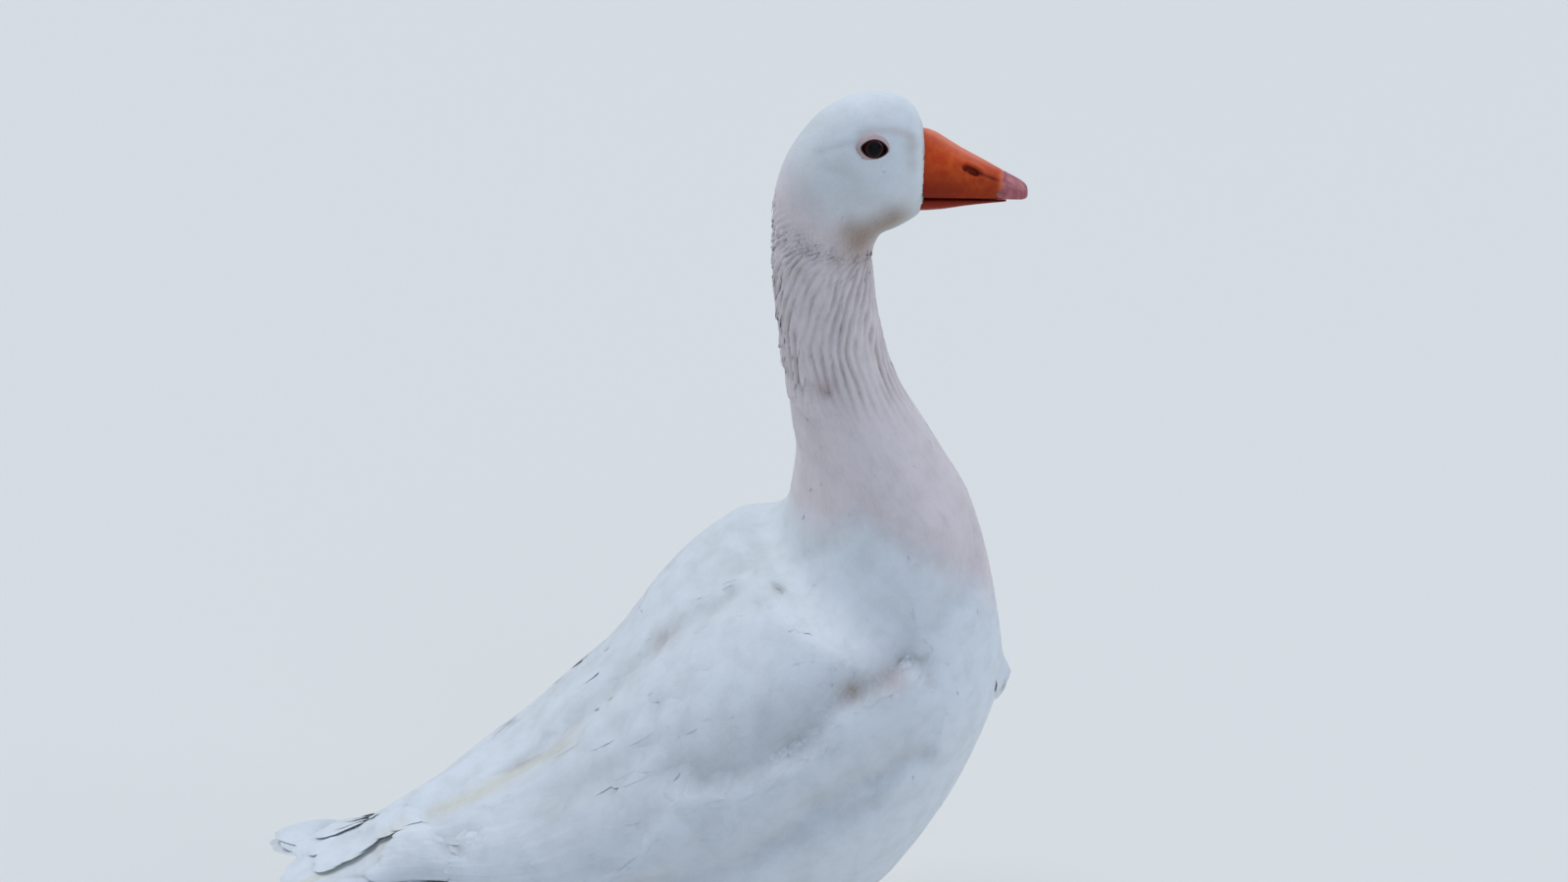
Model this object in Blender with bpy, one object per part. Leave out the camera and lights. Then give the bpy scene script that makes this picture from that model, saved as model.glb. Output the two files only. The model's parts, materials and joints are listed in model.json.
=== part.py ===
"""A domestic goose of the Embden kind, standing at its real size.

+Z is up, the goose faces +X and its left side is +Y. Working sizes are in millimetres and turn into
metres when a mesh is made. The flesh is one loft of sections from the rump to the base of the bill,
parted into trunk, neck and head. Wings, tail, legs and bill are lofts that start from its surface.
"""

import math
from collections import namedtuple

import bmesh
import bpy
from mathutils import Matrix, Vector

MM = 0.001
GAP = 0.4  # clearance between two solids that touch

# Driving dimensions.
STANCE_LIFT = 25.0  # raises the body sections above the floor
ORIGIN_X = -49.7  # middle of the bounding box, which becomes x = 0
BILL_BASE = (154.5, 769.0)  # x and z of the culmen where the feathers end
BILL_DEPTH = 55.0  # both halves of the bill together, where they leave the head
TAIL_REACH = 87.0
WING_THICKNESS = 7.5
WING_EDGE = 1.0
WING_CLEARANCE = 1.6
EYE_RADIUS = 8.6
LEG_SPREAD = 66.0  # half the distance between the feet
STANCE_X = 50.0  # the feet stand under the centre of mass
SHANK_LENGTH = 92.0
MIDDLE_TOE = 92.0
HEAD_TURN = math.radians(-16.0)
TURN_FROM_Z, TURN_TO_Z, TURN_AXIS_X = 520.0, 720.0, 95.0

RING_POINTS = 28
STEPS = 3  # loft rings to each stretch between two sections

# A section runs from a point on the upper line (back, nape, crown) to one on the lower line (vent,
# belly, breast, throat). half_width is at its widest, share is how far up that is, and the two
# exponents shape its upper and lower half (2 is an ellipse, more is boxier).
Section = namedtuple("Section", "top_x top_z low_x low_z half_width share upper lower")

# The whole body, from the tail's tip to the base of the bill.
BODY = [
    Section(-241 - TAIL_REACH, 226.6, -241 - TAIL_REACH, 224.4, 43, 0.50, 3.0, 3.0),
    Section(-321, 229, -317, 222, 47, 0.60, 2.4, 1.8),
    Section(-307, 234, -288, 214, 50, 0.65, 2.4, 1.8),
    Section(-286, 242, -240, 200, 50, 0.60, 2.2, 1.9),
    Section(-262, 251, -186, 184, 47, 0.55, 2.1, 2.0),
    Section(-241, 260, -147, 174, 44, 0.55, 2.1, 2.0),  # rump
    Section(-192, 277, -60, 159, 82, 0.55, 2.1, 2.0),
    Section(-128, 309, 36, 147, 114, 0.54, 2.1, 2.2),  # loin
    Section(-68, 361, 134, 161, 134, 0.52, 2.1, 2.3),
    Section(-11, 419, 194, 225, 139, 0.50, 2.1, 2.3),  # shoulders
    Section(34, 447, 225, 312, 127, 0.48, 2.1, 2.2),  # breast
    Section(65, 449, 227, 390, 104, 0.45, 2.1, 2.1),  # crop
    Section(77, 521, 207, 476, 78, 0.45, 2.0, 2.0),  # foot of the neck
    Section(72, 555, 175, 536, 56, 0.50, 2.0, 2.0),
    Section(67, 602, 143, 592, 39, 0.50, 2.0, 2.0),
    Section(59, 646, 130, 641, 32, 0.50, 2.0, 2.0),
    Section(58, 684, 125, 678, 30, 0.50, 2.0, 2.0),
    Section(58, 706, 125, 688, 29, 0.50, 2.0, 2.0),  # throat
    Section(60, 729, 127, 694, 29.5, 0.50, 2.1, 2.0),  # nape
    Section(70, 755, 130, 699, 30, 0.52, 2.1, 2.1),
    Section(92, 781, 138, 702, 29.5, 0.52, 2.2, 2.2),  # cheeks
    Section(121, 791, 147, 707, 27, 0.50, 2.2, 2.2),  # crown and chin
    Section(144, 786, 153, 711, 22, 0.48, 2.1, 2.1),
    Section(BILL_BASE[0], BILL_BASE[1], BILL_BASE[0], BILL_BASE[1] - BILL_DEPTH, 16.5, 0.42, 2.0, 2.3),
]
# Where the nodes of flesh start and end along it.
FLESH = {"tail": (0, 5), "trunk": (5, 12), "neck_lower": (12, 14), "neck_upper": (14, 17), "head": (17, 23)}
RECTRICES = 8  # feather tips that scallop the end of the tail
SCALLOP = 5.0
TAIL_DROOP = 5.0  # how far the tail's sides hang below its middle
TAIL_ROUNDING = 7.0  # how much shorter the outer feathers are

# The folded wing. Each row is a place along the body, and the angles from the upper line between
# which the wing covers it, from the wrist to the tips of its longest feathers over the tail.
WING_COVER = [
    (11.45, 68, 96),
    (11.1, 42, 90),
    (10.6, 24, 80),
    (10.0, 12, 71),
    (9.2, 7, 66),
    (8.2, 5, 67),
    (7.2, 5, 74),
    (6.2, 5, 83),
    (5.4, 6, 86),
    (4.6, 8, 74),
    (3.9, 14, 50),
    (3.5, 20, 34),
]

# The bill, seen from its base: forward, height of the upper edge and of the lower edge below the
# culmen's base, and half width.
BillSection = namedtuple("BillSection", "forward top low half_width")
UPPER_BILL = [
    BillSection(0, 0, -44, 16.0),
    BillSection(10, -5.8, -44.4, 14.6),
    BillSection(24, -14.6, -44.8, 13.0),
    BillSection(38, -22.0, -45.2, 12.0),
    BillSection(52, -29.2, -45.8, 11.4),
]
NAIL = [
    UPPER_BILL[-1],
    BillSection(59, -32.8, -46.4, 10.0),
    BillSection(65, -36.2, -47.0, 7.6),
    BillSection(68, -39.0, -46.8, 4.6),
    BillSection(69, -42.0, -46.0, 2.0),
]
LOWER_BILL = [
    BillSection(0, -44.4, -BILL_DEPTH, 13.4),
    BillSection(14, -44.9, -54, 12.2),
    BillSection(28, -45.4, -51.6, 11.0),
    BillSection(42, -45.8, -49.8, 9.8),
    BillSection(50, -46.2, -49.2, 8.4),
    BillSection(55, -47.3, -49.0, 6.0),
]
NOSTRIL_FORWARD, NOSTRIL_DROP = 30.0, -28.0
NOSTRIL_HALF = (5.6, 3.0, 2.3)

# The eye's place along the body and angle from the upper line, and how deep its centre lies.
EYE_PLACE, EYE_ANGLE = 20.65, math.radians(69)
EYE_DEPTH = 5.3

# Toes: angle from straight ahead, outwards, and length as a share of the middle toe.
TOES = {"inner": (-31.5, 0.80), "middle": (0.0, 1.0), "outer": (31.5, 0.90)}
HEEL_RADIUS = 11.0
ANKLE_HEIGHT = 17.0
RIM_HEIGHT = 1.8
CLAW_LENGTH = 10.0


# --- Loft geometry --------------------------------------------------------------------------------


def with_ends(rows):
    """The rows with one more at each end, in line with the last two there."""
    rows = [list(row) for row in rows]
    before = [2 * a - b for a, b in zip(rows[0], rows[1])]
    after = [2 * a - b for a, b in zip(rows[-1], rows[-2])]
    return [before, *rows, after]


def curve_at(rows, place):
    """Numbers on the Catmull-Rom curve through rows, at a place such as 2.5."""
    i = min(int(place), len(rows) - 2)
    t = place - i
    four = with_ends(rows)[i : i + 4]
    return [
        0.5 * (2 * q + (r - p) * t + (2 * p - 5 * q + 4 * r - s) * t * t + (3 * q - p - 3 * r + s) * t**3)
        for p, q, r, s in zip(*four)
    ]


def curve_through(rows, steps, first=0, last=None):
    """Rows along the curve, steps to each stretch, from the first place to the last."""
    last = len(rows) - 1 if last is None else last
    return [curve_at(rows, first + k / steps) for k in range((last - first) * steps + 1)]


def section_at(place):
    return Section(*curve_at(BODY, place))


def section_point(section, angle):
    """A point on the section's outline, at an angle from its upper end towards +Y."""
    up, out = math.cos(angle), math.sin(angle)
    power = 2 / (section.upper if up > 0 else section.lower)
    height = section.share + abs(up) ** power * ((1 - section.share) if up > 0 else -section.share)
    low = Vector((section.low_x, 0, section.low_z))
    top = Vector((section.top_x, 0, section.top_z))
    point = low.lerp(top, height)
    point.y = math.copysign(abs(out) ** power, out) * section.half_width
    return point


def body_normal(place, angle):
    """Outward direction of the body's surface, from two short steps along it."""
    step = 0.01
    base = section_point(section_at(place), angle)
    along = section_point(section_at(place + step), angle) - base
    around = section_point(section_at(place), angle + step) - base
    return along.cross(around).normalized()


def section_ring(section, count=RING_POINTS):
    return [section_point(section, 2 * math.pi * k / count) for k in range(count)]


def turned(point):
    """The point once the upper neck and head have turned about a vertical axis."""
    share = min(max((point.z - TURN_FROM_Z) / (TURN_TO_Z - TURN_FROM_Z), 0), 1)
    angle = HEAD_TURN * share * share * (3 - 2 * share)
    x, y = point.x - TURN_AXIS_X, point.y
    return Vector(
        (
            TURN_AXIS_X + x * math.cos(angle) - y * math.sin(angle),
            x * math.sin(angle) + y * math.cos(angle),
            point.z,
        )
    )


def forward_of(section):
    """The direction along the loft, square to the section, in the middle plane."""
    up = Vector((section.top_x - section.low_x, 0, section.top_z - section.low_z)).normalized()
    return Vector((up.z, 0, -up.x))


def body_rings(first, last, inflate=0.0):
    """Rings of the body's loft between two places; a part other than the tail starts with a gap."""
    sections = [Section(*row) for row in curve_through(BODY, STEPS, first, last)]
    sections = [s._replace(half_width=s.half_width + inflate) for s in sections]
    rings = [grown_ring(section_ring(s), inflate) for s in sections]
    if first > 0:
        rings[0] = [point + forward_of(sections[0]) * GAP for point in rings[0]]
    return rings


def grown_ring(ring, by):
    """The ring moved out in its own plane, for a cutter that leaves a gap."""
    centre = sum(ring, Vector()) / len(ring)
    return [point + Vector(((point - centre).x, 0, (point - centre).z)).normalized() * by for point in ring]


def loft_mesh(name, rings):
    """A closed mesh over the rings, in metres, with a fan from the middle of each end."""
    bm = bmesh.new()
    rows = [[bm.verts.new(point * MM) for point in ring] for ring in rings]
    for row, after in zip(rows, rows[1:]):
        for k in range(len(row)):
            j = (k + 1) % len(row)
            bm.faces.new((row[k], after[k], after[j], row[j]))
    for ring in (rings[0], rings[-1]):
        row = rows[0] if ring is rings[0] else rows[-1]
        middle = bm.verts.new(sum(ring, Vector()) / len(ring) * MM)
        for k in range(len(row)):
            bm.faces.new((middle, row[k], row[(k + 1) % len(row)]))
    bmesh.ops.recalc_face_normals(bm, faces=bm.faces)
    mesh = bpy.data.meshes.new(name)
    bm.to_mesh(mesh)
    bm.free()
    return mesh


# --- Objects and materials ------------------------------------------------------------------------


def clear_scene():
    for obj in list(bpy.data.objects):
        bpy.data.objects.remove(obj, do_unlink=True)


def material(name, colour, roughness):
    """A plain Principled material of one colour."""
    made = bpy.data.materials.new(name)
    made.use_nodes = True
    shader = made.node_tree.nodes["Principled BSDF"]
    shader.inputs["Base Color"].default_value = (*colour, 1)
    shader.inputs["Roughness"].default_value = roughness
    return made


def add_object(name, mesh, surface):
    obj = bpy.data.objects.new(name, mesh)
    bpy.context.scene.collection.objects.link(obj)
    mesh.materials.append(surface)
    mesh.shade_smooth()
    mesh.set_sharp_from_angle(angle=math.radians(50))
    return obj


def cutter(name, mesh):
    obj = bpy.data.objects.new(name, mesh)
    bpy.context.scene.collection.objects.link(obj)
    obj.hide_render = True
    obj.display_type = "WIRE"
    return obj


def boolean(obj, other, operation):
    modifier = obj.modifiers.new(operation.title() + other.name, "BOOLEAN")
    modifier.operation = operation
    modifier.solver = "EXACT"
    modifier.object = other


def ellipsoid(name, centre, half, segments=14, rings=8):
    """A mesh of an ellipsoid with its half axes along X, Y and Z, in millimetres."""
    bm = bmesh.new()
    bmesh.ops.create_uvsphere(bm, u_segments=segments, v_segments=rings, radius=1)
    bmesh.ops.transform(
        bm,
        matrix=Matrix.Translation(Vector(centre) * MM) @ Matrix.Diagonal((*(Vector(half) * MM), 1)),
        verts=bm.verts,
    )
    mesh = bpy.data.meshes.new(name)
    bm.to_mesh(mesh)
    bm.free()
    return mesh


def lifted(rings, lift=STANCE_LIFT):
    return [[point + Vector((-ORIGIN_X, 0, lift)) for point in ring] for ring in rings]


def placed(point, lift=STANCE_LIFT):
    return Vector(point) + Vector((-ORIGIN_X, 0, lift))


SIDES = {"left": 1, "right": -1}


# --- Flesh ----------------------------------------------------------------------------------------


def build_flesh(feathers):
    made = {}
    for name, (first, last) in FLESH.items():
        rings = body_rings(first, last)
        if name == "tail":
            shape_tail(rings)
        rings = [[turned(point) for point in ring] for ring in rings]
        made[name] = add_object(name, loft_mesh(name, lifted(rings)), feathers)
    return made


def shape_tail(rings):
    """Gives the last two stretches of the tail their rounded, scalloped end and hanging sides."""
    half_width = BODY[0].half_width
    for i, ring in enumerate(rings[: 2 * STEPS]):
        share = 1 - i / (2 * STEPS)
        for point in ring:
            across = point.y / half_width
            wave = abs(math.cos(math.pi * RECTRICES / 2 * across))
            point.x += share * share * (SCALLOP * (1 - wave) + TAIL_ROUNDING * across * across)
            point.z -= share * TAIL_DROOP * across * across


def build_eyes(head, eye):
    for side, sign in SIDES.items():
        inside = section_point(section_at(EYE_PLACE), EYE_ANGLE)
        inside -= body_normal(EYE_PLACE, EYE_ANGLE) * EYE_DEPTH
        centre = placed(turned(Vector((inside.x, sign * inside.y, inside.z))))
        name = f"eye_{side}"
        add_object(name, ellipsoid(name, centre, [EYE_RADIUS] * 3), eye)
        socket = ellipsoid(f"socket_{side}", centre, [EYE_RADIUS + GAP] * 3)
        boolean(head, cutter(f"socket_{side}", socket), "DIFFERENCE")


# --- Wings ----------------------------------------------------------------------------------------


def wing_ring(place, first, last, thickness):
    """A thin crescent on the left of the body, its inner side clear of the surface."""
    count = 7
    inner, outer = [], []
    for k in range(count + 1):
        share = k / count
        angle = math.radians(first + (last - first) * share)
        normal = body_normal(place, angle)
        base = section_point(section_at(place), angle)
        bulge = math.sin(math.pi * share) ** 0.6 if 0 < k < count else 0
        inner.append(base + normal * WING_CLEARANCE)
        outer.append(base + normal * (WING_CLEARANCE + WING_EDGE + thickness * bulge))
    return outer + inner[::-1]


def wing_rings():
    rows = curve_through(WING_COVER, 2)
    rings = []
    for i, (place, first, last) in enumerate(rows):
        share = i / (len(rows) - 1)
        thickness = WING_THICKNESS * min(1, 4 * share + 0.1) * (1 - 0.75 * share)
        rings.append(wing_ring(place, first, last, thickness))
    return rings


def build_wings(feathers):
    for side, sign in SIDES.items():
        rings = [[Vector((p.x, sign * p.y, p.z)) for p in ring] for ring in wing_rings()]
        add_object(f"wing_{side}", loft_mesh(f"wing_{side}", lifted(rings)), feathers)


# --- Bill -----------------------------------------------------------------------------------------


def bill_ring(section, share, upper, lower, start_gap=0.0):
    """A bill section as a ring of the loft, standing square to the head's own forward line."""
    x = BILL_BASE[0] + section.forward + start_gap
    top, low = BILL_BASE[1] + section.top, BILL_BASE[1] + section.low
    outline = Section(x, top, x, low, section.half_width, share, upper, lower)
    return [turned(point) for point in section_ring(outline, 18)]


def bill_rings(sections, share, upper, lower):
    rows = curve_through(sections, 2)
    rings = [bill_ring(BillSection(*row), share, upper, lower) for row in rows]
    rings[0] = bill_ring(BillSection(*rows[0]), share, upper, lower, start_gap=GAP)
    return lifted(rings)


def build_bill(horn, nail):
    upper = add_object("bill_upper", loft_mesh("bill_upper", bill_rings(UPPER_BILL, 0.26, 1.7, 5.0)), horn)
    for side, sign in SIDES.items():
        x = BILL_BASE[0] + NOSTRIL_FORWARD
        centre = placed(turned(Vector((x, sign * 11.0, BILL_BASE[1] + NOSTRIL_DROP))))
        pit = ellipsoid(f"nostril_{side}", centre, NOSTRIL_HALF, 12, 8)
        boolean(upper, cutter(f"nostril_{side}", pit), "DIFFERENCE")
    add_object("bill_nail", loft_mesh("bill_nail", bill_rings(NAIL, 0.26, 1.8, 4.0)), nail)
    add_object("bill_lower", loft_mesh("bill_lower", bill_rings(LOWER_BILL, 0.75, 5.0, 2.0)), horn)


# --- Legs -----------------------------------------------------------------------------------------


def level_ring(centre, half_x, half_y, count=16):
    """A level oval, for the leg lofts."""
    turns = [2 * math.pi * k / count for k in range(count)]
    return [centre + Vector((half_x * math.cos(t), half_y * math.sin(t), 0)) for t in turns]


def leg_loft(name, rows, surface, count):
    """A loft over level ovals, each given as x, y, z, half length and half width."""
    rings = [level_ring(Vector(row[:3]), row[3], row[4], count) for row in curve_through(rows, 2)]
    return add_object(name, loft_mesh(name, lifted(rings, lift=0)), surface)


def build_leg(side, sign, feathers, skin, trunk_cutter):
    ankle_x, hock_x = STANCE_X - 30, STANCE_X - 50
    y, hock_z = sign * LEG_SPREAD, ANKLE_HEIGHT + SHANK_LENGTH
    lean = hock_x - ankle_x
    leg_loft(
        f"shank_{side}",
        [
            (ankle_x, y, ANKLE_HEIGHT + GAP, 8.5, 7.5),
            (ankle_x + 0.25 * lean, y, ANKLE_HEIGHT + 0.22 * SHANK_LENGTH, 7.2, 6.0),
            (ankle_x + 0.6 * lean, y, ANKLE_HEIGHT + 0.6 * SHANK_LENGTH, 8.0, 6.4),
            (ankle_x + 0.9 * lean, y, ANKLE_HEIGHT + 0.88 * SHANK_LENGTH, 11.5, 9.5),
            (hock_x + 1, y, hock_z, 11.0, 9.5),
        ],
        skin,
        12,
    )
    thigh = leg_loft(
        f"thigh_{side}",
        [
            (hock_x + 1, y, hock_z + GAP, 12.5, 11.0),
            (hock_x + 7, y, hock_z + 14, 20, 16),
            (hock_x + 18, y - sign * 3, hock_z + 40, 37, 27),
            (hock_x + 30, y - sign * 8, hock_z + 72, 54, 38),
            (hock_x + 38, y - sign * 14, hock_z + 105, 60, 42),
        ],
        feathers,
        16,
    )
    boolean(thigh, trunk_cutter, "DIFFERENCE")


def toe_reach(angle):
    """How far the foot reaches at an angle outwards from straight ahead, in degrees."""
    toes = sorted((bearing, share * MIDDLE_TOE) for bearing, share in TOES.values())
    if angle <= toes[0][0] or angle >= toes[-1][0]:
        bearing, reach = toes[0] if angle <= toes[0][0] else toes[-1]
        past = min(abs(angle - bearing) / 26.0, 1)
        return HEEL_RADIUS + (reach - HEEL_RADIUS) * (1 - past) ** 3
    for (a, reach_a), (b, reach_b) in zip(toes, toes[1:]):
        if a <= angle <= b:
            share = (angle - a) / (b - a)
            web = 1 - 0.13 * math.sin(math.pi * share) ** 0.7
            return (reach_a + (reach_b - reach_a) * share) * web
    return HEEL_RADIUS


def foot_height(angle, reach, share):
    """Height of the foot's upper side: the web, the toes standing out of it, and the ankle."""
    distance = share * reach
    height = RIM_HEIGHT + 1.0 * (1 - share)
    for bearing, _ in TOES.values():
        aside = distance * math.sin(math.radians(angle - bearing))
        if abs(angle - bearing) < 90:
            ridge = 6.4 - 3.4 * share if share < 1 else 2.4
            height = max(height, RIM_HEIGHT + ridge * math.exp(-((aside / 4.6) ** 2)))
    ankle = ANKLE_HEIGHT * math.exp(-(max(distance - 7.5, 0) / 9.0) ** 2)
    return max(height, ankle)


def foot_mesh(name, origin, sign):
    """The webbed foot: a flat sole on the floor and a ridged upper side, from a grid round the ankle."""
    front = [-54 + 4.5 * k for k in range(25)]
    behind = [80, 115, 150, 180, 210, 245, 280]
    shares = [0.09, 0.2, 0.36, 0.58, 0.82, 1.0]
    bm = bmesh.new()

    def vertex(angle, distance, height):
        bearing = math.radians(angle)
        place = Vector((distance * math.cos(bearing), sign * distance * math.sin(bearing), height))
        return bm.verts.new((origin + place) * MM)

    rows, rim = [], []
    for angle in front + behind:
        signed = angle if angle <= 180 else angle - 360
        reach = toe_reach(signed)
        rows.append([vertex(angle, reach * s, foot_height(signed, reach, s)) for s in shares])
        rim.append(vertex(angle, reach, 0))
    top, sole = vertex(0, 0, ANKLE_HEIGHT), vertex(0, 0, 0)
    for i, row in enumerate(rows):
        j = (i + 1) % len(rows)
        after = rows[j]
        bm.faces.new((top, row[0], after[0]))
        bm.faces.new((sole, rim[i], rim[j]))
        bm.faces.new((row[-1], after[-1], rim[j], rim[i]))
        for k in range(len(shares) - 1):
            bm.faces.new((row[k], row[k + 1], after[k + 1], after[k]))
    bmesh.ops.recalc_face_normals(bm, faces=bm.faces)
    mesh = bpy.data.meshes.new(name)
    bm.to_mesh(mesh)
    bm.free()
    return mesh


def tapered(start, direction, length, radius, tip, droop):
    """Rings of a cone that curves down, for a claw or the hind toe."""
    aside = direction.cross(Vector((0, 0, 1))).normalized()
    rings = []
    for k in range(4):
        share = k / 3
        centre = start + direction * length * share - Vector((0, 0, droop * share * share))
        size = radius + (tip - radius) * share
        ring = []
        for j in range(6):
            turn = 2 * math.pi * j / 6
            ring.append(centre + aside * size * math.cos(turn) + Vector((0, 0, size * math.sin(turn))))
        rings.append(ring)
    return rings


def build_foot(side, sign, skin, claw):
    origin = placed((STANCE_X - 30, sign * LEG_SPREAD, 0), lift=0)
    foot = add_object(f"foot_{side}", foot_mesh(f"foot_{side}", origin, sign), skin)
    for toe, (bearing, share) in TOES.items():
        angle = math.radians(bearing)
        direction = Vector((math.cos(angle), sign * math.sin(angle), 0))
        start = origin + direction * (share * MIDDLE_TOE + GAP) + Vector((0, 0, 3.3))
        name = f"claw_{side}_{toe}"
        add_object(name, loft_mesh(name, tapered(start, direction, CLAW_LENGTH, 2.6, 0.7, 2.2)), claw)
    direction = Vector((-0.93, -0.3 * sign, 0)).normalized()
    start = origin + Vector((0, 0, 11.5)) + direction * 4
    hind = loft_mesh(f"hind_toe_{side}", tapered(start, direction, 20, 4.6, 3.2, 4.0))
    boolean(foot, cutter(f"hind_toe_{side}", hind), "UNION")
    name = f"claw_{side}_hind"
    start = start + direction * (20 + GAP) - Vector((0, 0, 4.0))
    add_object(name, loft_mesh(name, tapered(start, direction, 7, 2.6, 0.7, 2.5)), claw)


def build_legs(feathers, skin, claw):
    shape = body_rings(*FLESH["trunk"], inflate=GAP)
    trunk_cutter = cutter("trunk_cutter", loft_mesh("trunk_cutter", lifted(shape)))
    for side, sign in SIDES.items():
        build_leg(side, sign, feathers, skin, trunk_cutter)
        build_foot(side, sign, skin, claw)


def main():
    clear_scene()
    feathers = material("white_feathers", (0.86, 0.87, 0.88), 0.8)
    horn = material("orange_bill", (0.60, 0.13, 0.03), 0.4)
    nail = material("pale_nail", (0.62, 0.36, 0.30), 0.35)
    leg_skin = material("orange_leg_skin", (0.66, 0.20, 0.04), 0.5)
    claw = material("pale_claw", (0.55, 0.42, 0.34), 0.4)
    eye = material("dark_eye", (0.03, 0.012, 0.01), 0.08)
    flesh = build_flesh(feathers)
    build_eyes(flesh["head"], eye)
    build_wings(feathers)
    build_bill(horn, nail)
    build_legs(feathers, leg_skin, claw)


main()
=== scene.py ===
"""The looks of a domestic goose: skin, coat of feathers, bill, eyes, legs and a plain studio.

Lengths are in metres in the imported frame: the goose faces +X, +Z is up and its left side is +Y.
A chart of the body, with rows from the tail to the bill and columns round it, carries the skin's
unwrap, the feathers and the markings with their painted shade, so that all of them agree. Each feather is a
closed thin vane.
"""

import json
import math
from collections import namedtuple

import bmesh
import bpy
import numpy as np
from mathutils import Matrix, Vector
from mathutils.bvhtree import BVHTree
from mathutils.kdtree import KDTree

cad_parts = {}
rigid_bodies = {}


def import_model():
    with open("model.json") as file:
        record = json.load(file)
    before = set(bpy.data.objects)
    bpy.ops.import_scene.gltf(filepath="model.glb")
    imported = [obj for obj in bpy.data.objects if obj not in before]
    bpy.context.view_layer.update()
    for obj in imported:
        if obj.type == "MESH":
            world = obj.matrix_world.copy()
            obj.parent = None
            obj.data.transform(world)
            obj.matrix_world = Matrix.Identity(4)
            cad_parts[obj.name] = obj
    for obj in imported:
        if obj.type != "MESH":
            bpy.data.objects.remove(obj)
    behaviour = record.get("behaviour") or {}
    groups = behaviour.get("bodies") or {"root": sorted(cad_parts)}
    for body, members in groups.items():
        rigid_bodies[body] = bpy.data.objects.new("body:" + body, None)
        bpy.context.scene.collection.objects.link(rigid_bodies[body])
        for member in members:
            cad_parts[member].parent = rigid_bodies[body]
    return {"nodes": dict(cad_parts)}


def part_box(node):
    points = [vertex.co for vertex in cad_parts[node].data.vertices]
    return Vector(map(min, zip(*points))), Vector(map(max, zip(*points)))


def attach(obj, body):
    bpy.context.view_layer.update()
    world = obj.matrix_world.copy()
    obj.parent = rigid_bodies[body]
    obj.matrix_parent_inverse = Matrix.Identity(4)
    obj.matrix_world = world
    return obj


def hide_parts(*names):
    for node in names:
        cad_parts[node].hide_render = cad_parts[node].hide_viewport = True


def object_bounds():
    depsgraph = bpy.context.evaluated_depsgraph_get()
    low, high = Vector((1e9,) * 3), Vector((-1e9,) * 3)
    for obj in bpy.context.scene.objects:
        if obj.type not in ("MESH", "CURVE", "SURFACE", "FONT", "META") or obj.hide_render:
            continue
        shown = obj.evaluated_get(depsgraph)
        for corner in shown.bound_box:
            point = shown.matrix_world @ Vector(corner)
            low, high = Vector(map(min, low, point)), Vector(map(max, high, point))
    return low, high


for leftover in list(bpy.data.objects):
    bpy.data.objects.remove(leftover)
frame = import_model()
CAD_LOW, CAD_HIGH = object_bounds()
LENGTH = CAD_HIGH.x - CAD_LOW.x
HEIGHT = CAD_HIGH.z - CAD_LOW.z

MM = 0.001
SEED = 7
SIDES = {"left": 1, "right": -1}  # the sign of y on each side
WINGS = ["wing_left", "wing_right"]
FLESH = ["trunk", "tail", "neck_lower", "neck_upper", "head", *WINGS]
THIGHS = ["thigh_left", "thigh_right"]
EYES = ["eye_left", "eye_right"]  # they fill their sockets while the chart and the skin are made
WELD = 1e-5  # corners of the solids' facets nearer than this are one

# The camera stands right of the goose and looks down on it.
CAMERA_AT = (-0.1333, -0.8630, 1.0870)
CAMERA_FORWARD = (0.2387, 0.8325, -0.5000)
CAMERA_LENS = 33.75

# The head and the upper neck are turned to the right, about an upright axis through the neck.
HEAD_TURN = math.radians(-16)
TURN_AXIS = 0.760  # share of the length
TURN_FROM, TURN_TO = 0.668, 0.913  # shares of the height

# Sections of the body from the tail to the bill: the middle as shares of the CAD box's length and
# height, and the direction from the belly's line to the back's line in degrees (90 is upright).
# A section's number in this list is its place. Places between two sections are fractions.
STATIONS = np.array([
    (0.000, 0.307, 90),
    (0.017, 0.307, 120),
    (0.055, 0.305, 134),
    (0.117, 0.301, 138),
    (0.187, 0.297, 139),
    (0.241, 0.297, 138),  # 5, rump
    (0.363, 0.298, 138),
    (0.507, 0.310, 135),  # 7, loin
    (0.648, 0.350, 135),
    (0.754, 0.425, 137),  # 9, shoulders
    (0.822, 0.496, 145),
    (0.851, 0.545, 160),  # 11, crop
    (0.844, 0.642, 161),  # 12, foot of the neck
    (0.811, 0.699, 170),
    (0.778, 0.762, 173),
    (0.759, 0.819, 176),
    (0.754, 0.865, 175),
    (0.754, 0.885, 165),  # 17, throat
    (0.757, 0.903, 152),
    (0.769, 0.922, 137),
    (0.796, 0.939, 120),  # 20, cheeks
    (0.830, 0.949, 107),
    (0.856, 0.948, 97),
    (0.867, 0.939, 90),  # 23, base of the bill
])
FIRST_PLACE, LAST_PLACE = 0.5, 22.97
SURE_PLACE = 22.6  # in front of it the rays may miss the head's rounded end
ROWS_PER_PLACE = 30
COLUMNS = 300

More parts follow.
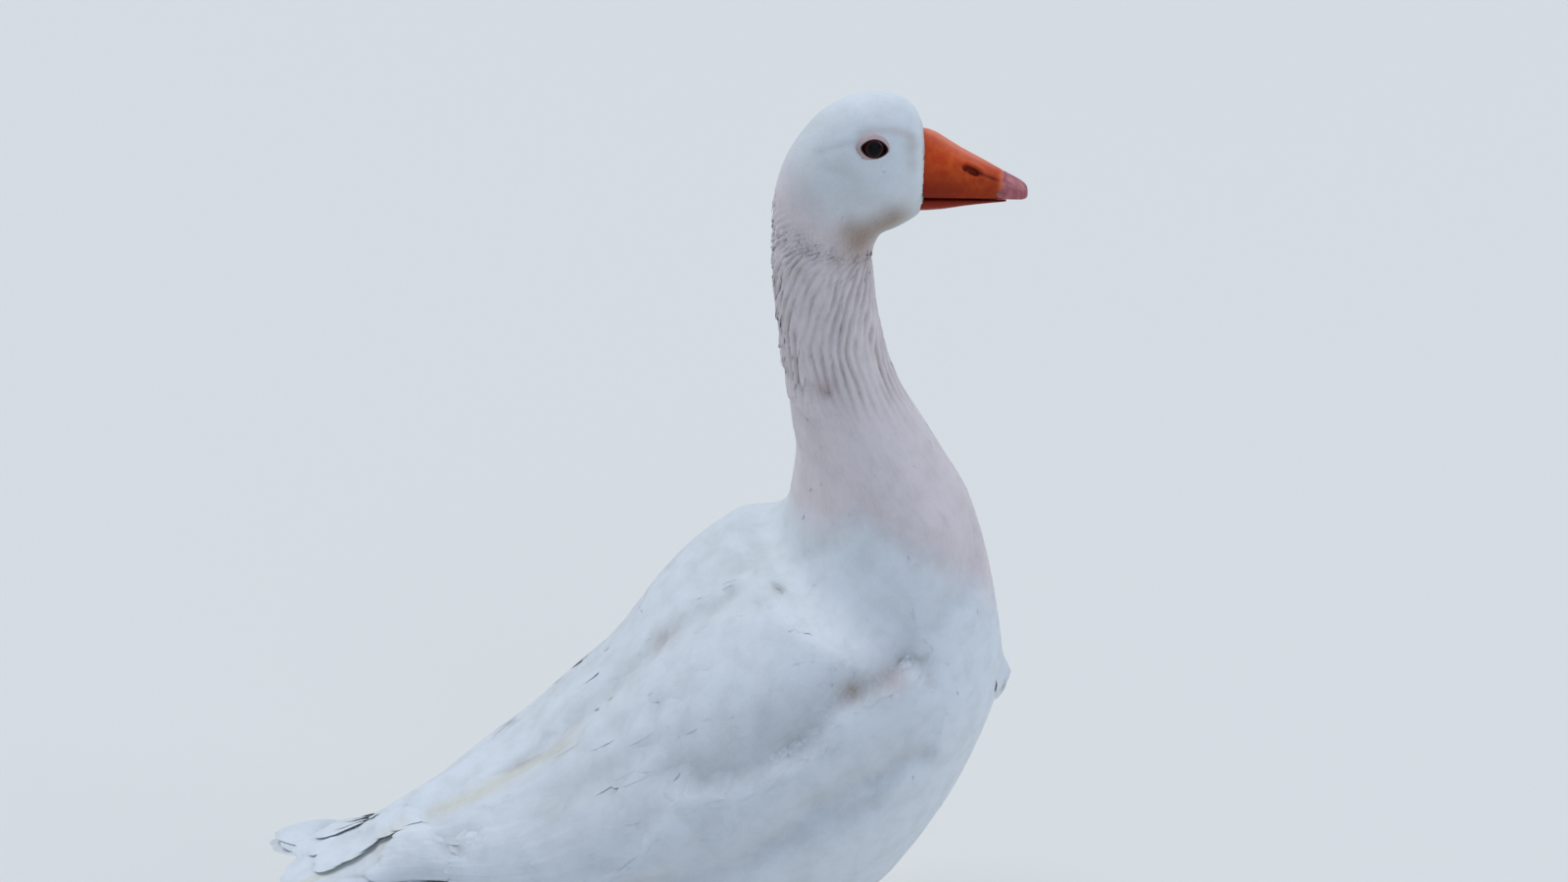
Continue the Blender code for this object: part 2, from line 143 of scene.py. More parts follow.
# The coat along the body, in millimetres: distance between roots, length and width of a vane, depth
# of its root under the coat's surface, how far its edges curve down, how far its tip stands up and how
# far the very end curls down again.
COAT_FIELDS = ("place", "spacing", "length", "width", "depth", "camber", "rise", "curl")
COAT_ROWS = [
    (0.5, 5.6, 34, 14, 2.4, 0.30, 0.30, 0.60),
    (3.0, 6.0, 38, 17, 3.5, 0.35, 0.35, 0.70),
    (6.0, 6.2, 40, 20, 4.5, 0.35, 0.35, 0.75),
    (9.0, 5.6, 36, 20, 4.5, 0.35, 0.25, 0.70),
    (10.5, 4.7, 27, 16, 4.0, 0.32, 0.22, 0.58),
    (12.0, 4.0, 21, 12, 3.5, 0.25, 0.22, 0.45),
    (13.3, 3.0, 17, 7.4, 2.6, 0.22, 0.20, 0.40),
    (13.9, 2.2, 14, 4.2, 1.7, 0.14, 0.20, 0.38),
    (16.5, 2.0, 12, 4.0, 1.4, 0.14, 0.18, 0.38),
    (17.8, 1.8, 9, 4.0, 1.1, 0.13, 0.10, 0.32),
    (19.5, 1.6, 7, 3.7, 0.8, 0.12, 0.06, 0.26),
    (21.5, 1.35, 5.2, 3.7, 0.6, 0.10, 0.04, 0.18),
    (22.3, 1.1, 4.6, 3.6, 0.5, 0.08, 0.02, 0.12),
    (23.0, 0.95, 4.0, 3.4, 0.3, 0.05, 0.02, 0.08),
]
COAT = dict(zip(COAT_FIELDS, np.transpose(COAT_ROWS)))
SOFTNESS = 0.86  # how far a contour feather is shaded like the smooth coat around it
WING_SOFTNESS, QUILL_SOFTNESS, TAIL_SOFTNESS = 0.7, 0.5, 0.4  # the same for those of wings and tail


# --- Small tools ----------------------------------------------------------------------------------


def smoothstep(x, low, high):
    t = np.clip((x - low) / (high - low), 0.0, 1.0)
    return t * t * (3 - 2 * t)


def stretch(x, rise, fall):
    """From 0 to 1 over the range of rise, and back to 0 over that of fall."""
    return smoothstep(x, *rise) * (1 - smoothstep(x, *fall))


def bell(x, width):
    """1 at zero, and down to a third one width away on either side."""
    return np.exp(-((x / width) ** 2))


def unit(v):
    return v / np.maximum(np.linalg.norm(v, axis=-1, keepdims=True), 1e-12)


def dot(a, b):
    return (a * b).sum(-1, keepdims=True)


def laid_over(colour, tint, share):
    """The colour with a share of the tint over it, point by point."""
    share = share[..., None]
    return colour * (1 - share) + tint * share


def blurred(grid, times, axis, wrap):
    """The grid after that many passes of a 1-2-1 filter along one axis."""
    size = grid.shape[axis]
    margin = [(1, 1) if direction == axis else (0, 0) for direction in (0, 1)]
    for _ in range(times):
        padded = np.pad(grid, margin, "wrap" if wrap else "edge")
        before, after = (np.take(padded, range(start, start + size), axis) for start in (0, 2))
        grid = (before + 2 * grid + after) / 4
    return grid


def evenly_blurred(grid, round_it, along_it):
    """The grid blurred round the body and along it, by that many passes."""
    return blurred(blurred(grid, round_it, 1, True), along_it, 0, False)


def between(grid, row, column, row_share, column_share):
    """Values of a grid between its points. Its last column is followed by its first."""
    after = (column + 1) % grid.shape[1]
    near = grid[row, column] * (1 - column_share) + grid[row, after] * column_share
    far = grid[row + 1, column] * (1 - column_share) + grid[row + 1, after] * column_share
    return near * (1 - row_share) + far * row_share


def search_tree(points):
    tree = KDTree(len(points))
    for i, point in enumerate(points):
        tree.insert(point, i)
    tree.balance()
    return tree


def linked(name, data):
    """A new object in the scene for a mesh, a light or a camera."""
    obj = bpy.data.objects.new(name, data)
    bpy.context.scene.collection.objects.link(obj)
    return obj


def mesh_object(name, points, faces):
    mesh = bpy.data.meshes.new(name)
    mesh.from_pydata([tuple(p) for p in points], [], faces)
    mesh.update()
    return linked(name, mesh)


def read_all(elements, key, width=3, kind=np.float32):
    """One row of numbers for each vertex, edge or corner of a mesh."""
    flat = np.empty(len(elements) * width, kind)
    elements.foreach_get(key, flat)
    return flat.reshape(-1, width)


def coordinates(mesh):
    return read_all(mesh.vertices, "co").astype(float)


def normals_of(mesh):
    return read_all(mesh.vertices, "normal")


def corner_vertices(mesh):
    return read_all(mesh.loops, "vertex_index", 1, np.int32).ravel()


def set_points(mesh, points):
    mesh.vertices.foreach_set("co", points.astype(np.float32).ravel())
    mesh.update()


def set_values(mesh, name, values):
    """A number for each vertex, under a name that a material reads."""
    mesh.attributes.new(name, "FLOAT", "POINT").data.foreach_set("value", values.astype(np.float32))


def paint(mesh, colours, name="MarkingsAndShade"):
    """A colour for each vertex, under a name that a material reads."""
    values = np.ones((len(colours), 4), np.float32)
    values[:, :3] = colours
    mesh.attributes.new(name, "FLOAT_COLOR", "POINT").data.foreach_set("color", values.ravel())


def set_uv(mesh, name, values):
    layer = mesh.uv_layers.new(name=name)
    layer.uv.foreach_set("vector", values.astype(np.float32).ravel())


def finished(obj, material, nodes=()):
    """Gives the piece its material, hangs it on the root body and hides the CAD nodes it stands in for."""
    obj.data.materials.clear()
    obj.data.materials.append(material)
    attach(obj, "root")
    if nodes:
        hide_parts(*nodes)
    return obj


def cut_behind(part, x):
    """Cuts off what lies behind an upright plane, and closes the cut."""
    whole = part.verts[:] + part.edges[:] + part.faces[:]
    plane = {"plane_co": (x, 0, 0), "plane_no": (-1, 0, 0)}
    cut = bmesh.ops.bisect_plane(part, geom=whole, clear_outer=True, **plane)["geom_cut"]
    bmesh.ops.holes_fill(part, edges=[e for e in cut if isinstance(e, bmesh.types.BMEdge)])


def merged_copy(name, nodes, keep_from=()):
    """One mesh of several CAD nodes. keep_from gives a node's lowest x: what is behind it is cut off."""
    bm = bmesh.new()
    for node in nodes:
        part = bmesh.new()
        part.from_mesh(frame["nodes"][node].data)
        bmesh.ops.remove_doubles(part, verts=part.verts, dist=WELD)
        if node in keep_from:
            cut_behind(part, keep_from[node])
        spare = bpy.data.meshes.new("spare")
        part.to_mesh(spare)
        part.free()
        bm.from_mesh(spare)
        bpy.data.meshes.remove(spare)
    mesh = bpy.data.meshes.new(name)
    bm.to_mesh(mesh)
    bm.free()
    return linked(name, mesh)


def remeshed(obj, voxel, smoothing):
    """The object as one even closed mesh, smoothed that many times."""
    remesh = obj.modifiers.new("Remesh", "REMESH")
    remesh.mode = "VOXEL"
    remesh.voxel_size = voxel
    smooth = obj.modifiers.new("Smooth", "SMOOTH")
    smooth.factor = 0.5
    smooth.iterations = smoothing
    graph = bpy.context.evaluated_depsgraph_get()
    mesh = bpy.data.meshes.new_from_object(obj.evaluated_get(graph))
    obj.modifiers.clear()
    obj.data = mesh
    return obj


def surface_tree(obj):
    """A tree that finds hits on the object's surface. The object itself is used up."""
    mesh = obj.data
    tree = BVHTree.FromPolygons([v.co for v in mesh.vertices], [tuple(p.vertices) for p in mesh.polygons])
    bpy.data.objects.remove(obj)
    return tree


# --- Camera, light and floor ----------------------------------------------------------------------

# Even soft lights from far off: name, where they come from, strength, width on the sky and colour.
SUNS = [
    ("Key", (-0.9, 1.0, 2.6), 1.55, 35, (1.0, 0.97, 0.93)),
    ("Front", (2.0, -0.2, 1.3), 0.85, 50, (0.96, 0.97, 1.0)),
    ("Fill", (0.2, -2.2, 1.2), 0.30, 60, (0.80, 0.88, 1.0)),
]
SKY, SKY_STRENGTH = (0.56, 0.75, 1.0, 1), 0.58
BACKDROP = (0.62, 0.67, 0.72, 1)  # what the camera sees behind the floor
BACKDROP_NODES = ("ShaderNodeBackground", "ShaderNodeLightPath", "ShaderNodeMixShader")
FLOOR = [(-25, -25, 0), (25, -25, 0), (25, 25, 0), (-25, 25, 0)]


def add_camera():
    data = bpy.data.cameras.new("Camera")
    data.lens = CAMERA_LENS
    data.clip_start, data.clip_end = 0.01, 50
    camera = linked("Camera", data)
    camera.location = CAMERA_AT
    camera.rotation_euler = Vector(CAMERA_FORWARD).to_track_quat("-Z", "Y").to_euler()
    bpy.context.scene.camera = camera


def add_suns():
    for name, towards, strength, spread, colour in SUNS:
        data = bpy.data.lights.new(name, "SUN")
        data.energy = strength
        data.angle = math.radians(spread)
        data.color = colour
        linked(name, data).rotation_euler = Vector(towards).to_track_quat("Z", "Y").to_euler()


def add_world():
    """A pale blue sky as light, and a plain backdrop where the camera looks past the floor."""
    scene = bpy.context.scene
    scene.view_settings.view_transform = "Standard"
    scene.world = bpy.data.worlds.new("Studio")
    scene.world.use_nodes = True
    links, nodes = scene.world.node_tree.links, scene.world.node_tree.nodes
    sky = nodes["Background"]
    sky.inputs["Color"].default_value = SKY
    sky.inputs["Strength"].default_value = SKY_STRENGTH
    backdrop, seen, mixed = (nodes.new(kind) for kind in BACKDROP_NODES)
    backdrop.inputs["Color"].default_value = BACKDROP
    links.new(seen.outputs["Is Camera Ray"], mixed.inputs[0])
    links.new(sky.outputs[0], mixed.inputs[1])
    links.new(backdrop.outputs[0], mixed.inputs[2])
    links.new(mixed.outputs[0], nodes["World Output"].inputs["Surface"])


def add_floor(material):
    floor = mesh_object("floor", FLOOR, [(0, 1, 2, 3)])
    floor.data.materials.append(material)


# --- Materials ------------------------------------------------------------------------------------


class Shader:
    """A node material under construction, with short calls for the nodes it needs."""

    def __init__(self, name):
        self.material = bpy.data.materials.new(name)
        self.material.use_nodes = True
        self.tree = self.material.node_tree
        self.surface = self.tree.nodes["Principled BSDF"]

    def feed(self, socket, value):
        if isinstance(value, bpy.types.NodeSocket):
            self.tree.links.new(value, socket)
        else:
            socket.default_value = value

    def node(self, kind, settings=(), **inputs):
        made = self.tree.nodes.new(kind)
        for key, value in dict(settings).items():
            setattr(made, key, value)
        for key, value in inputs.items():
            self.feed(made.inputs[key.replace("_", " ")], value)
        return made

    def set(self, **inputs):
        for key, value in inputs.items():
            self.feed(self.surface.inputs[key.replace("_", " ")], value)

    def where(self):
        return self.node("ShaderNodeTexCoord").outputs["Object"]

    def attribute(self, name):
        return self.node("ShaderNodeAttribute", {"attribute_name": name})

    def noise(self, scale, detail=4.0, rough=0.55, vector=None):
        vector = vector or self.where()
        made = self.node("ShaderNodeTexNoise", Vector=vector, Scale=scale, Detail=detail, Roughness=rough)
        return made.outputs["Fac"]

    def math(self, operation, a, b=0.5):
        made = self.node("ShaderNodeMath", {"operation": operation})
        self.feed(made.inputs[0], a)
        self.feed(made.inputs[1], b)
        return made.outputs[0]

    def ramp(self, value, low, high, to_low=0.0, to_high=1.0):
        made = self.node("ShaderNodeMapRange", {"interpolation_type": "SMOOTHSTEP"}, Value=value)
        for key, number in zip(("From Min", "From Max", "To Min", "To Max"), (low, high, to_low, to_high)):
            made.inputs[key].default_value = number
        return made.outputs[0]

    def mix(self, factor, a, b, blend="MIX"):
        made = self.node("ShaderNodeMix", {"data_type": "RGBA", "blend_type": blend})
        for number, value in ((0, factor), (6, a), (7, b)):
            self.feed(made.inputs[number], value)
        return made.outputs[2]

    def bump(self, height, strength, distance):
        return self.node("ShaderNodeBump", Height=height, Strength=strength, Distance=distance).outputs[0]


BARB = 0.0009  # from one barb of a feather to the next


def rgb(red, green, blue):
    """A linear colour from an sRGB one in 0 to 255."""
    values = [c / 255 for c in (red, green, blue)]
    return tuple(c / 12.92 if c <= 0.04045 else ((c + 0.055) / 1.055) ** 2.4 for c in values) + (1.0,)


def feather_material():
    """Feathers take the markings and painted shade of their vertices, with slanting barbs and a faint paler
    shaft.
    """
    s = Shader("feathers")
    marks_and_shade = s.attribute("MarkingsAndShade").outputs["Color"]
    vane = s.node("ShaderNodeUVMap", {"uv_map": "Vane"}).outputs["UV"]
    across, along, _ = s.node("ShaderNodeSeparateXYZ", Vector=vane).outputs
    side = s.math("ABSOLUTE", across)
    slant = s.math("SUBTRACT", along, s.math("MULTIPLY", side, 1.4))
    barbs = s.math("SINE", s.math("MULTIPLY", slant, 2 * math.pi / BARB))
    patchy, fine = s.noise(55), s.noise(900, 2.0)
    height = s.math("ADD", s.math("MULTIPLY", barbs, 0.5), s.math("MULTIPLY", fine, 1.4))
    shaft = s.ramp(side, 0.0002, 0.0009, 1.0, 0.0)
    tinted = s.mix(s.ramp(patchy, 0.35, 0.75, 0.0, 0.35), marks_and_shade, rgb(222, 220, 214), "MULTIPLY")
    toned = s.mix(s.math("MULTIPLY", fine, 0.22), tinted, rgb(190, 192, 200), "MULTIPLY")
    colour = s.mix(s.math("MULTIPLY", shaft, 0.12), toned, rgb(226, 222, 208))
    s.set(Base_Color=colour, Roughness=s.ramp(patchy, 0.3, 0.8, 0.62, 0.78))
    s.set(Normal=s.bump(height, 0.35, 0.0004))
    s.set(Sheen_Weight=0.12, Sheen_Roughness=0.5, Specular_IOR_Level=0.28)
    return s.material


def skin_material():
    s = Shader("goose_skin")
    marks_and_shade = s.attribute("MarkingsAndShade").outputs["Color"]
    down = s.noise(420, 5.0)
    colour = s.mix(s.ramp(down, 0.3, 0.7, 0.15, 0.5), marks_and_shade, rgb(196, 186, 184), "MULTIPLY")
    s.set(Base_Color=colour, Roughness=s.ramp(down, 0.3, 0.7, 0.7, 0.9))
    s.set(Normal=s.bump(down, 0.5, 0.0008), Specular_IOR_Level=0.2)
    return s.material


def bill_material():
    """Orange horn with painted shade low down, more so toward the base, along the mouth, in the nostrils and
    over the lower bill, redder toward the base, and a painted highlight along the culmen that turns into
    paler horn toward the nail.
    """
    s = Shader("bill_horn")
    tone = s.attribute("Tone").outputs["Color"]
    # low is painted shade; culmen is a painted highlight along the ridge and paler horn toward the nail.
    low, base, culmen = s.node("ShaderNodeSeparateColor", Color=tone).outputs
    mottled, fine = s.noise(160, 6.0, 0.6), s.noise(1400, 3.0)
    orange = s.mix(s.ramp(mottled, 0.35, 0.7), rgb(206, 66, 12), rgb(224, 94, 30))
    shaded = s.mix(low, orange, rgb(82, 12, 8))
    deeper = s.mix(s.math("MULTIPLY", base, 0.4), shaded, rgb(176, 50, 14))
    colour = s.mix(s.math("MULTIPLY", culmen, 0.75), deeper, rgb(228, 146, 122))
    s.set(Base_Color=colour, Roughness=s.ramp(mottled, 0.3, 0.8, 0.34, 0.5))
    height = s.math("ADD", mottled, s.math("MULTIPLY", fine, 0.35))
    s.set(Normal=s.bump(height, 0.25, 0.0006), Specular_IOR_Level=0.14)
    return s.material


def streaked_material(name, dark, pale, scale, rough, squeeze):
    """Horn with fine streaks, for the nail of the bill and the claws."""
    s = Shader(name)
    stretch = s.node("ShaderNodeMapping", Vector=s.where(), Scale=squeeze).outputs[0]
    streaks = s.noise(scale, 5.0, 0.6, stretch)
    s.set(Base_Color=s.mix(s.ramp(streaks, 0.3, 0.7), dark, pale))
    s.set(Roughness=s.ramp(streaks, 0.3, 0.7, rough, rough + 0.15))
    s.set(Normal=s.bump(streaks, 0.2, 0.0004), Coat_Weight=0.2, Coat_Roughness=0.25)
    return s.material


def eye_material():
    """A dark brown iris round a black pupil. The ring coordinate runs from the front of the eye."""
    s = Shader("eye_surface")
    ring = s.attribute("Ring").outputs["Fac"]
    iris = s.mix(s.ramp(s.noise(2200, 3.0), 0.3, 0.7), rgb(40, 12, 15), rgb(66, 22, 24))
    rim = s.mix(s.ramp(ring, 0.50, 0.66), iris, rgb(18, 9, 11))
    s.set(Base_Color=s.mix(s.ramp(ring, 0.30, 0.36), rgb(5, 4, 5), rim))
    s.set(Roughness=s.ramp(ring, 0.55, 0.75, 0.08, 0.7), Specular_IOR_Level=0.12)
    return s.material


def lid_material():
    """Bare skin, nearly black at the eye and pinkish grey farther out."""
    s = Shader("eyelid_skin")
    grain = s.noise(1500)
    outward = s.ramp(s.attribute("Outward").outputs["Fac"], 0.28, 0.62)
    skin = s.mix(s.ramp(grain, 0.3, 0.7), rgb(168, 142, 142), rgb(190, 168, 166))
    s.set(Base_Color=s.mix(outward, rgb(30, 15, 17), skin))
    s.set(Roughness=s.ramp(grain, 0.3, 0.7, 0.5, 0.65), Normal=s.bump(grain, 0.4, 0.0004))
    s.set(Specular_IOR_Level=0.25)
    return s.material


def leg_material():
    """Orange skin with fine darker lines between its scales."""
    s = Shader("leg_skin")
    blotch, grain = s.noise(70, 5.0), s.noise(900)
    cells = s.node("ShaderNodeTexVoronoi", {"feature": "DISTANCE_TO_EDGE"}, Vector=s.where(), Scale=330)
    edge = s.ramp(cells.outputs["Distance"], 0.0, 0.09)
    orange = s.mix(s.ramp(blotch, 0.3, 0.7), rgb(206, 92, 40), rgb(228, 122, 62))
    s.set(Base_Color=s.mix(edge, rgb(182, 78, 36), orange))
    s.set(Roughness=s.ramp(grain, 0.3, 0.7, 0.45, 0.65))
    height = s.math("ADD", edge, s.math("MULTIPLY", grain, 0.3))
    s.set(Normal=s.bump(height, 0.5, 0.0005), Specular_IOR_Level=0.4)
    return s.material


def floor_material():
    s = Shader("studio_floor")
    s.set(Base_Color=(0.70, 0.68, 0.64, 1), Roughness=0.9)
    return s.material


# --- The chart of the body ------------------------------------------------------------------------

BODY_BAND = (0.0, 0.86)  # where the body's chart starts on the unwrap of the skin, and its share of it
WIDEST_GAP = 12 * MM  # a wider gap between two surfaces on a ray is open air
RAY_REACH = 0.35
PAST_SURFACE = 0.2 * MM
CRISP_FROM, CRISP_ALL = 14.0, 18.0  # places over which the chart changes from well to lightly blurred


class Chart:
    """A surface as a grid of points: rows run against the lie of the coat, columns go round."""

    def __init__(self, points, first_place=0.0, rows_per_place=1.0, band=BODY_BAND):
        self.first_place = first_place
        self.rows_per_place = rows_per_place
        self.band = band
        self.clefts = np.zeros(points.shape[:2])
        self.relief = np.zeros(points.shape[:2])
        self.soil = np.zeros(points.shape[:2])
        self.colours = np.broadcast_to(WHITE, points.shape)
        self.shape(points)

    def shape(self, points):
        self.points = points
        self.along = np.gradient(points, axis=0)
        self.around = (np.roll(points, -1, 1) - np.roll(points, 1, 1)) / 2
        self.normals = unit(np.cross(self.along, self.around))
        outward = dot(self.normals, points - points.mean(1, keepdims=True))
        self.normals *= np.sign(outward.sum())

    @property
    def rows(self):
        return self.points.shape[0]

    @property
    def columns(self):
        return self.points.shape[1]

    def row(self, place):
        return (np.asarray(place, float) - self.first_place) * self.rows_per_place

    def place(self, row):
        return np.asarray(row, float) / self.rows_per_place + self.first_place

    def column(self, degrees):
        return np.asarray(degrees, float) * self.columns / 360

    def degrees(self, column):
        """The angle from the upper line, from -180 to 180. The left side is positive."""
        return (np.asarray(column, float) * 360 / self.columns + 180) % 360 - 180

    def grid(self):
        """Place and degrees of every point of the chart."""
        rows, columns = np.indices(self.points.shape[:2])
        return self.place(rows), self.degrees(columns)

    def read(self, grid, row, column):
        """What a grid of vectors over the chart says at each row and column."""
        row = np.clip(row, 0, self.rows - 1.001)
        column = np.mod(column, self.columns)
        r, c = row.astype(int), column.astype(int) % self.columns
        return between(grid, r, c, (row - r)[..., None], (column - np.floor(column))[..., None])

    def step(self, row, column, move):
        """Where a short move along the surface leads."""
        a, b = self.read(self.along, row, column), self.read(self.around, row, column)
        e, f, g = dot(a, a), dot(a, b), dot(b, b)
        p, q = dot(move, a), dot(move, b)
        det = np.maximum(e * g - f * f, 1e-18)
        return row + ((g * p - f * q) / det)[..., 0], column + ((e * q - f * p) / det)[..., 0]

    def shares(self, row, column):
        return np.stack([row / self.rows, column / self.columns], 1)

    def unwrap(self, share):
        """Where a share of the rows and of the columns lies on the unwrap of the whole skin."""
        start, size = self.band
        return share * [size, 1.0] + [start, 0.0]

    def spots(self, points):
        """Row and column nearest to each point."""
        tree = search_tree(self.points.reshape(-1, 3))
        index = np.array([tree.find(point)[1] for point in points])
        return (index // self.columns).astype(float), (index % self.columns).astype(float)


def station_rows(places):
    """Middle of the section, back's direction and left side at each place."""
    rows = np.vstack([2 * STATIONS[0] - STATIONS[1], STATIONS, 2 * STATIONS[-1] - STATIONS[-2]])
    i = np.minimum(places.astype(int), len(STATIONS) - 2)
    t = (places - i)[:, None]
    a, b, c, d = rows[i], rows[i + 1], rows[i + 2], rows[i + 3]
    values = (2 * b + (c - a) * t + (2 * a - 5 * b + 4 * c - d) * t**2 + (3 * b - a - 3 * c + d) * t**3) / 2
    x = CAD_LOW.x + values[:, 0] * LENGTH
    z = CAD_LOW.z + values[:, 1] * HEIGHT
    lean = np.radians(values[:, 2])
    turn = HEAD_TURN * smoothstep(values[:, 1], TURN_FROM, TURN_TO)
    axis = CAD_LOW.x + TURN_AXIS * LENGTH
    middle = np.stack([axis + (x - axis) * np.cos(turn), (x - axis) * np.sin(turn), z], 1)
    up = np.stack([np.cos(lean) * np.cos(turn), np.cos(lean) * np.sin(turn), np.sin(lean)], 1)
    side = np.stack([-np.sin(turn), np.cos(turn), np.zeros_like(x)], 1)
    return middle, up, side


def outermost(tree, origin, direction):
    """How far off the last surface is that a ray meets before it comes out into open air."""
    found, start = 0.0, 0.0
    while True:
        hit = tree.ray_cast(origin + direction * start, direction, RAY_REACH)
        if hit[0] is None or (found and start + hit[3] - found > WIDEST_GAP):
            return found
        found = start + hit[3]
        start = found + PAST_SURFACE


def filled(distances):
    """Distances with the zeros, where a ray met nothing, taken from the nearest row that has one."""
    for column in distances.T:
        good = np.flatnonzero(column > 0)
        column[:] = np.interp(np.arange(len(column)), good, column[good])
    return distances


def carried_on(distances, trusted, run=8):
    """Distances with the last rows drawn on in line with the trusted ones before them."""
    last = np.flatnonzero(trusted)[-1]
    slope = (distances[last] - distances[last - run]) / run
    for i in range(last + 1, len(distances)):
        distances[i] = distances[last] + slope * (i - last)
    return distances


def ray_chart(tree, middles, ups, sides, columns, fitted=True):
    """Distances from the spine to the surface, and the directions they are measured in.

    Fitted directions spread as an ellipse of the section's own height and width does.
    """
    angles = np.arange(columns) * 2 * math.pi / columns
    directions = np.empty((len(middles), columns, 3))
    distances = np.empty((len(middles), columns))
    for i, (middle, up, side) in enumerate(zip(middles, ups, sides)):
        origin = Vector(middle)
        tall, wide = 1.0, 1.0
        if fitted:
            tall, wide = (
                (outermost(tree, origin, Vector(v)) + outermost(tree, origin, -Vector(v))) / 2 or MM
                for v in (up, side)
            )
        spread = np.cos(angles)[:, None] * up * tall + np.sin(angles)[:, None] * side * wide
        directions[i] = unit(spread)
        distances[i] = [outermost(tree, origin, Vector(d)) for d in directions[i]]
    return filled(distances), directions


def body_chart():
    """The chart of the whole body, with the corners of the faceted solids smoothed away."""
    tree = surface_tree(remeshed(merged_copy("shell", FLESH + EYES), 2.5 * MM, 4))
    count = int((LAST_PLACE - FIRST_PLACE) * ROWS_PER_PLACE)
    places = np.linspace(FIRST_PLACE, LAST_PLACE, count)
    middles, ups, sides = station_rows(places)
    distances, directions = ray_chart(tree, middles, ups, sides, COLUMNS)
    distances = carried_on(distances, places < SURE_PLACE)
    soft, crisp = evenly_blurred(distances, 60, 90), evenly_blurred(distances, 8, 12)
    share = smoothstep(places, CRISP_FROM, CRISP_ALL)[:, None]
    distances = soft * (1 - share) + crisp * share
    points = middles[:, None] + directions * distances[..., None]
    return Chart(points, FIRST_PLACE, (count - 1) / (LAST_PLACE - FIRST_PLACE))


# --- Relief of the coat ---------------------------------------------------------------------------

# Folds of the coat as routes of (place, degrees from the upper line), with their depth, how wide their
# upper and lower slopes are, in mm, and the strength of their line's painted crease shade and dirt. The upper
# slope is nearer to the back.
# Most of them are on both sides, with the route of the left side here.
Fold = namedtuple("Fold", "route depth upper lower soil mirrored", defaults=[True])
FOLDS = [
    Fold([(9.6, -8), (9.1, -6), (8.7, -4), (8.2, -2), (7.4, -1), (6.9, 0)], 5.0, 5, 12, 0.25, False),
    Fold([(10.3, -3), (9.7, -2), (9.3, -1)], 2.5, 8, 5, 0.0, False),
    Fold([(11.9, 145), (11.62, 124), (11.42, 98), (11.12, 79), (10.8, 76)], 4.0, 20, 9, 0.16),
    Fold([(10.8, 76), (10.2, 68), (9.9, 64), (9.5, 60), (9.2, 61), (8.95, 60)], 7.8, 24, 9, 0.45),
    Fold([(8.95, 60), (8.7, 56), (8.4, 53), (8.2, 49), (8.05, 42)], 6.2, 24, 9, 0.22),
    Fold([(10.9, 84), (10.6, 86), (10.45, 90)], 1.4, 5, 5, 0.3),
    Fold([(9.6, 99), (9.45, 91), (9.2, 89), (8.98, 83), (8.6, 78)], 6.0, 22, 9, 0.20),
    Fold([(8.9, 90), (8.55, 80), (8.1, 76), (7.8, 76), (7.5, 76), (7.0, 74)], 6.0, 20, 9, 0.20),
    Fold([(7.8, 46), (7.5, 49), (7.2, 54), (6.8, 59)], 4.0, 14, 7, 0.06),
    Fold([(8.0, 60), (7.8, 64), (7.4, 70), (7.0, 73)], 4.0, 14, 7, 0.06),
    Fold([(8.1, 31), (7.8, 31), (7.4, 31), (7.0, 26)], 3.5, 14, 7, 0.08),
    Fold([(8.5, 27), (8.1, 22), (7.75, 17)], 2.2, 9, 6, 0.0),
    Fold([(9.9, 21), (9.6, 15), (9.15, 8)], 2.0, 6, 9, 0.0),
    Fold([(11.2, 14), (11.55, 30), (11.9, 50), (11.75, 80), (11.6, 112)], 1.8, 6, 9, 0.0),
    Fold([(7.4, -7), (7.15, -6), (6.6, -2), (6.4, -4)], 2.6, 3, 6, 0.22, False),
    Fold([(6.35, -17), (6.0, -30)], 2.2, 3, 5, 0.22, False),
    Fold([(6.15, -22), (5.78, -36)], 2.5, 3, 5, 0.28, False),
    Fold([(5.93, -22), (5.54, -37)], 2.5, 3, 5, 0.28, False),
    Fold([(5.7, -26), (5.4, -38)], 2.0, 3, 5, 0.22, False),
    Fold([(6.3, 20), (5.9, 33)], 1.8, 3, 5, 0.1, False),
    Fold([(6.0, 24), (5.6, 38)], 1.8, 3, 5, 0.1, False),
    Fold([(20.6, 92), (19.83, 79), (19.43, 62)], 1.0, 5, 5, 0.0),
    Fold([(20.4, 60), (19.9, 54), (19.5, 47)], 0.6, 3, 3, 0.12),
]
FOLD_SHADE = 0.036  # painted shade over a fold's slopes for each millimetre of its depth
FOLD_LINE = 3.4 * MM  # how far the painted crease shade and dirt of a fold's own line reach
HOLLOW = (9.15, 138, 0.85, 34, 11)  # place, degrees and their spreads, and depth in mm, under the breast
PUFF = (10.42, -146)  # place and degrees of a small swelling that the tuft of the breast stands on
PUFF_HEIGHT, PUFF_WIDTH = 6 * MM, 13 * MM

FURROW = 10.0  # degrees from one furrow of the neck to the next
FURROW_DEPTH = 2.2 * MM
FURROWS_START, FURROWS_END = (13.4, 14.1), (16.5, 18.2)  # places over which they begin and run out
NAPE_STEPS = [(13.95, 2.4), (13.45, 2.0), (15.7, 1.2)]  # place and height in mm

# Uneven lie of the coat: height, the places where it ends, and rows and columns of one hill
BODY_HILLS = (1.4 * MM, 11.5, 13.0, 20, 18)
FINE_HILLS = (0.35 * MM, 16.5, 18.0, 7, 6)


def lumps(chart, rng, rows, columns):
    """Smooth random hills and hollows from -1 to 1, in cells of that many rows and columns."""
    shape = (chart.rows // rows + 2, chart.columns // columns)
    coarse = rng.uniform(-1, 1, shape)
    r = np.arange(chart.rows) / rows
    c = np.arange(chart.columns) * shape[1] / chart.columns
    row, column = r.astype(int)[:, None], c.astype(int)[None]
    return between(coarse, row, column, smoothstep(r[:, None] - row, 0, 1), smoothstep(c[None] - column, 0, 1))


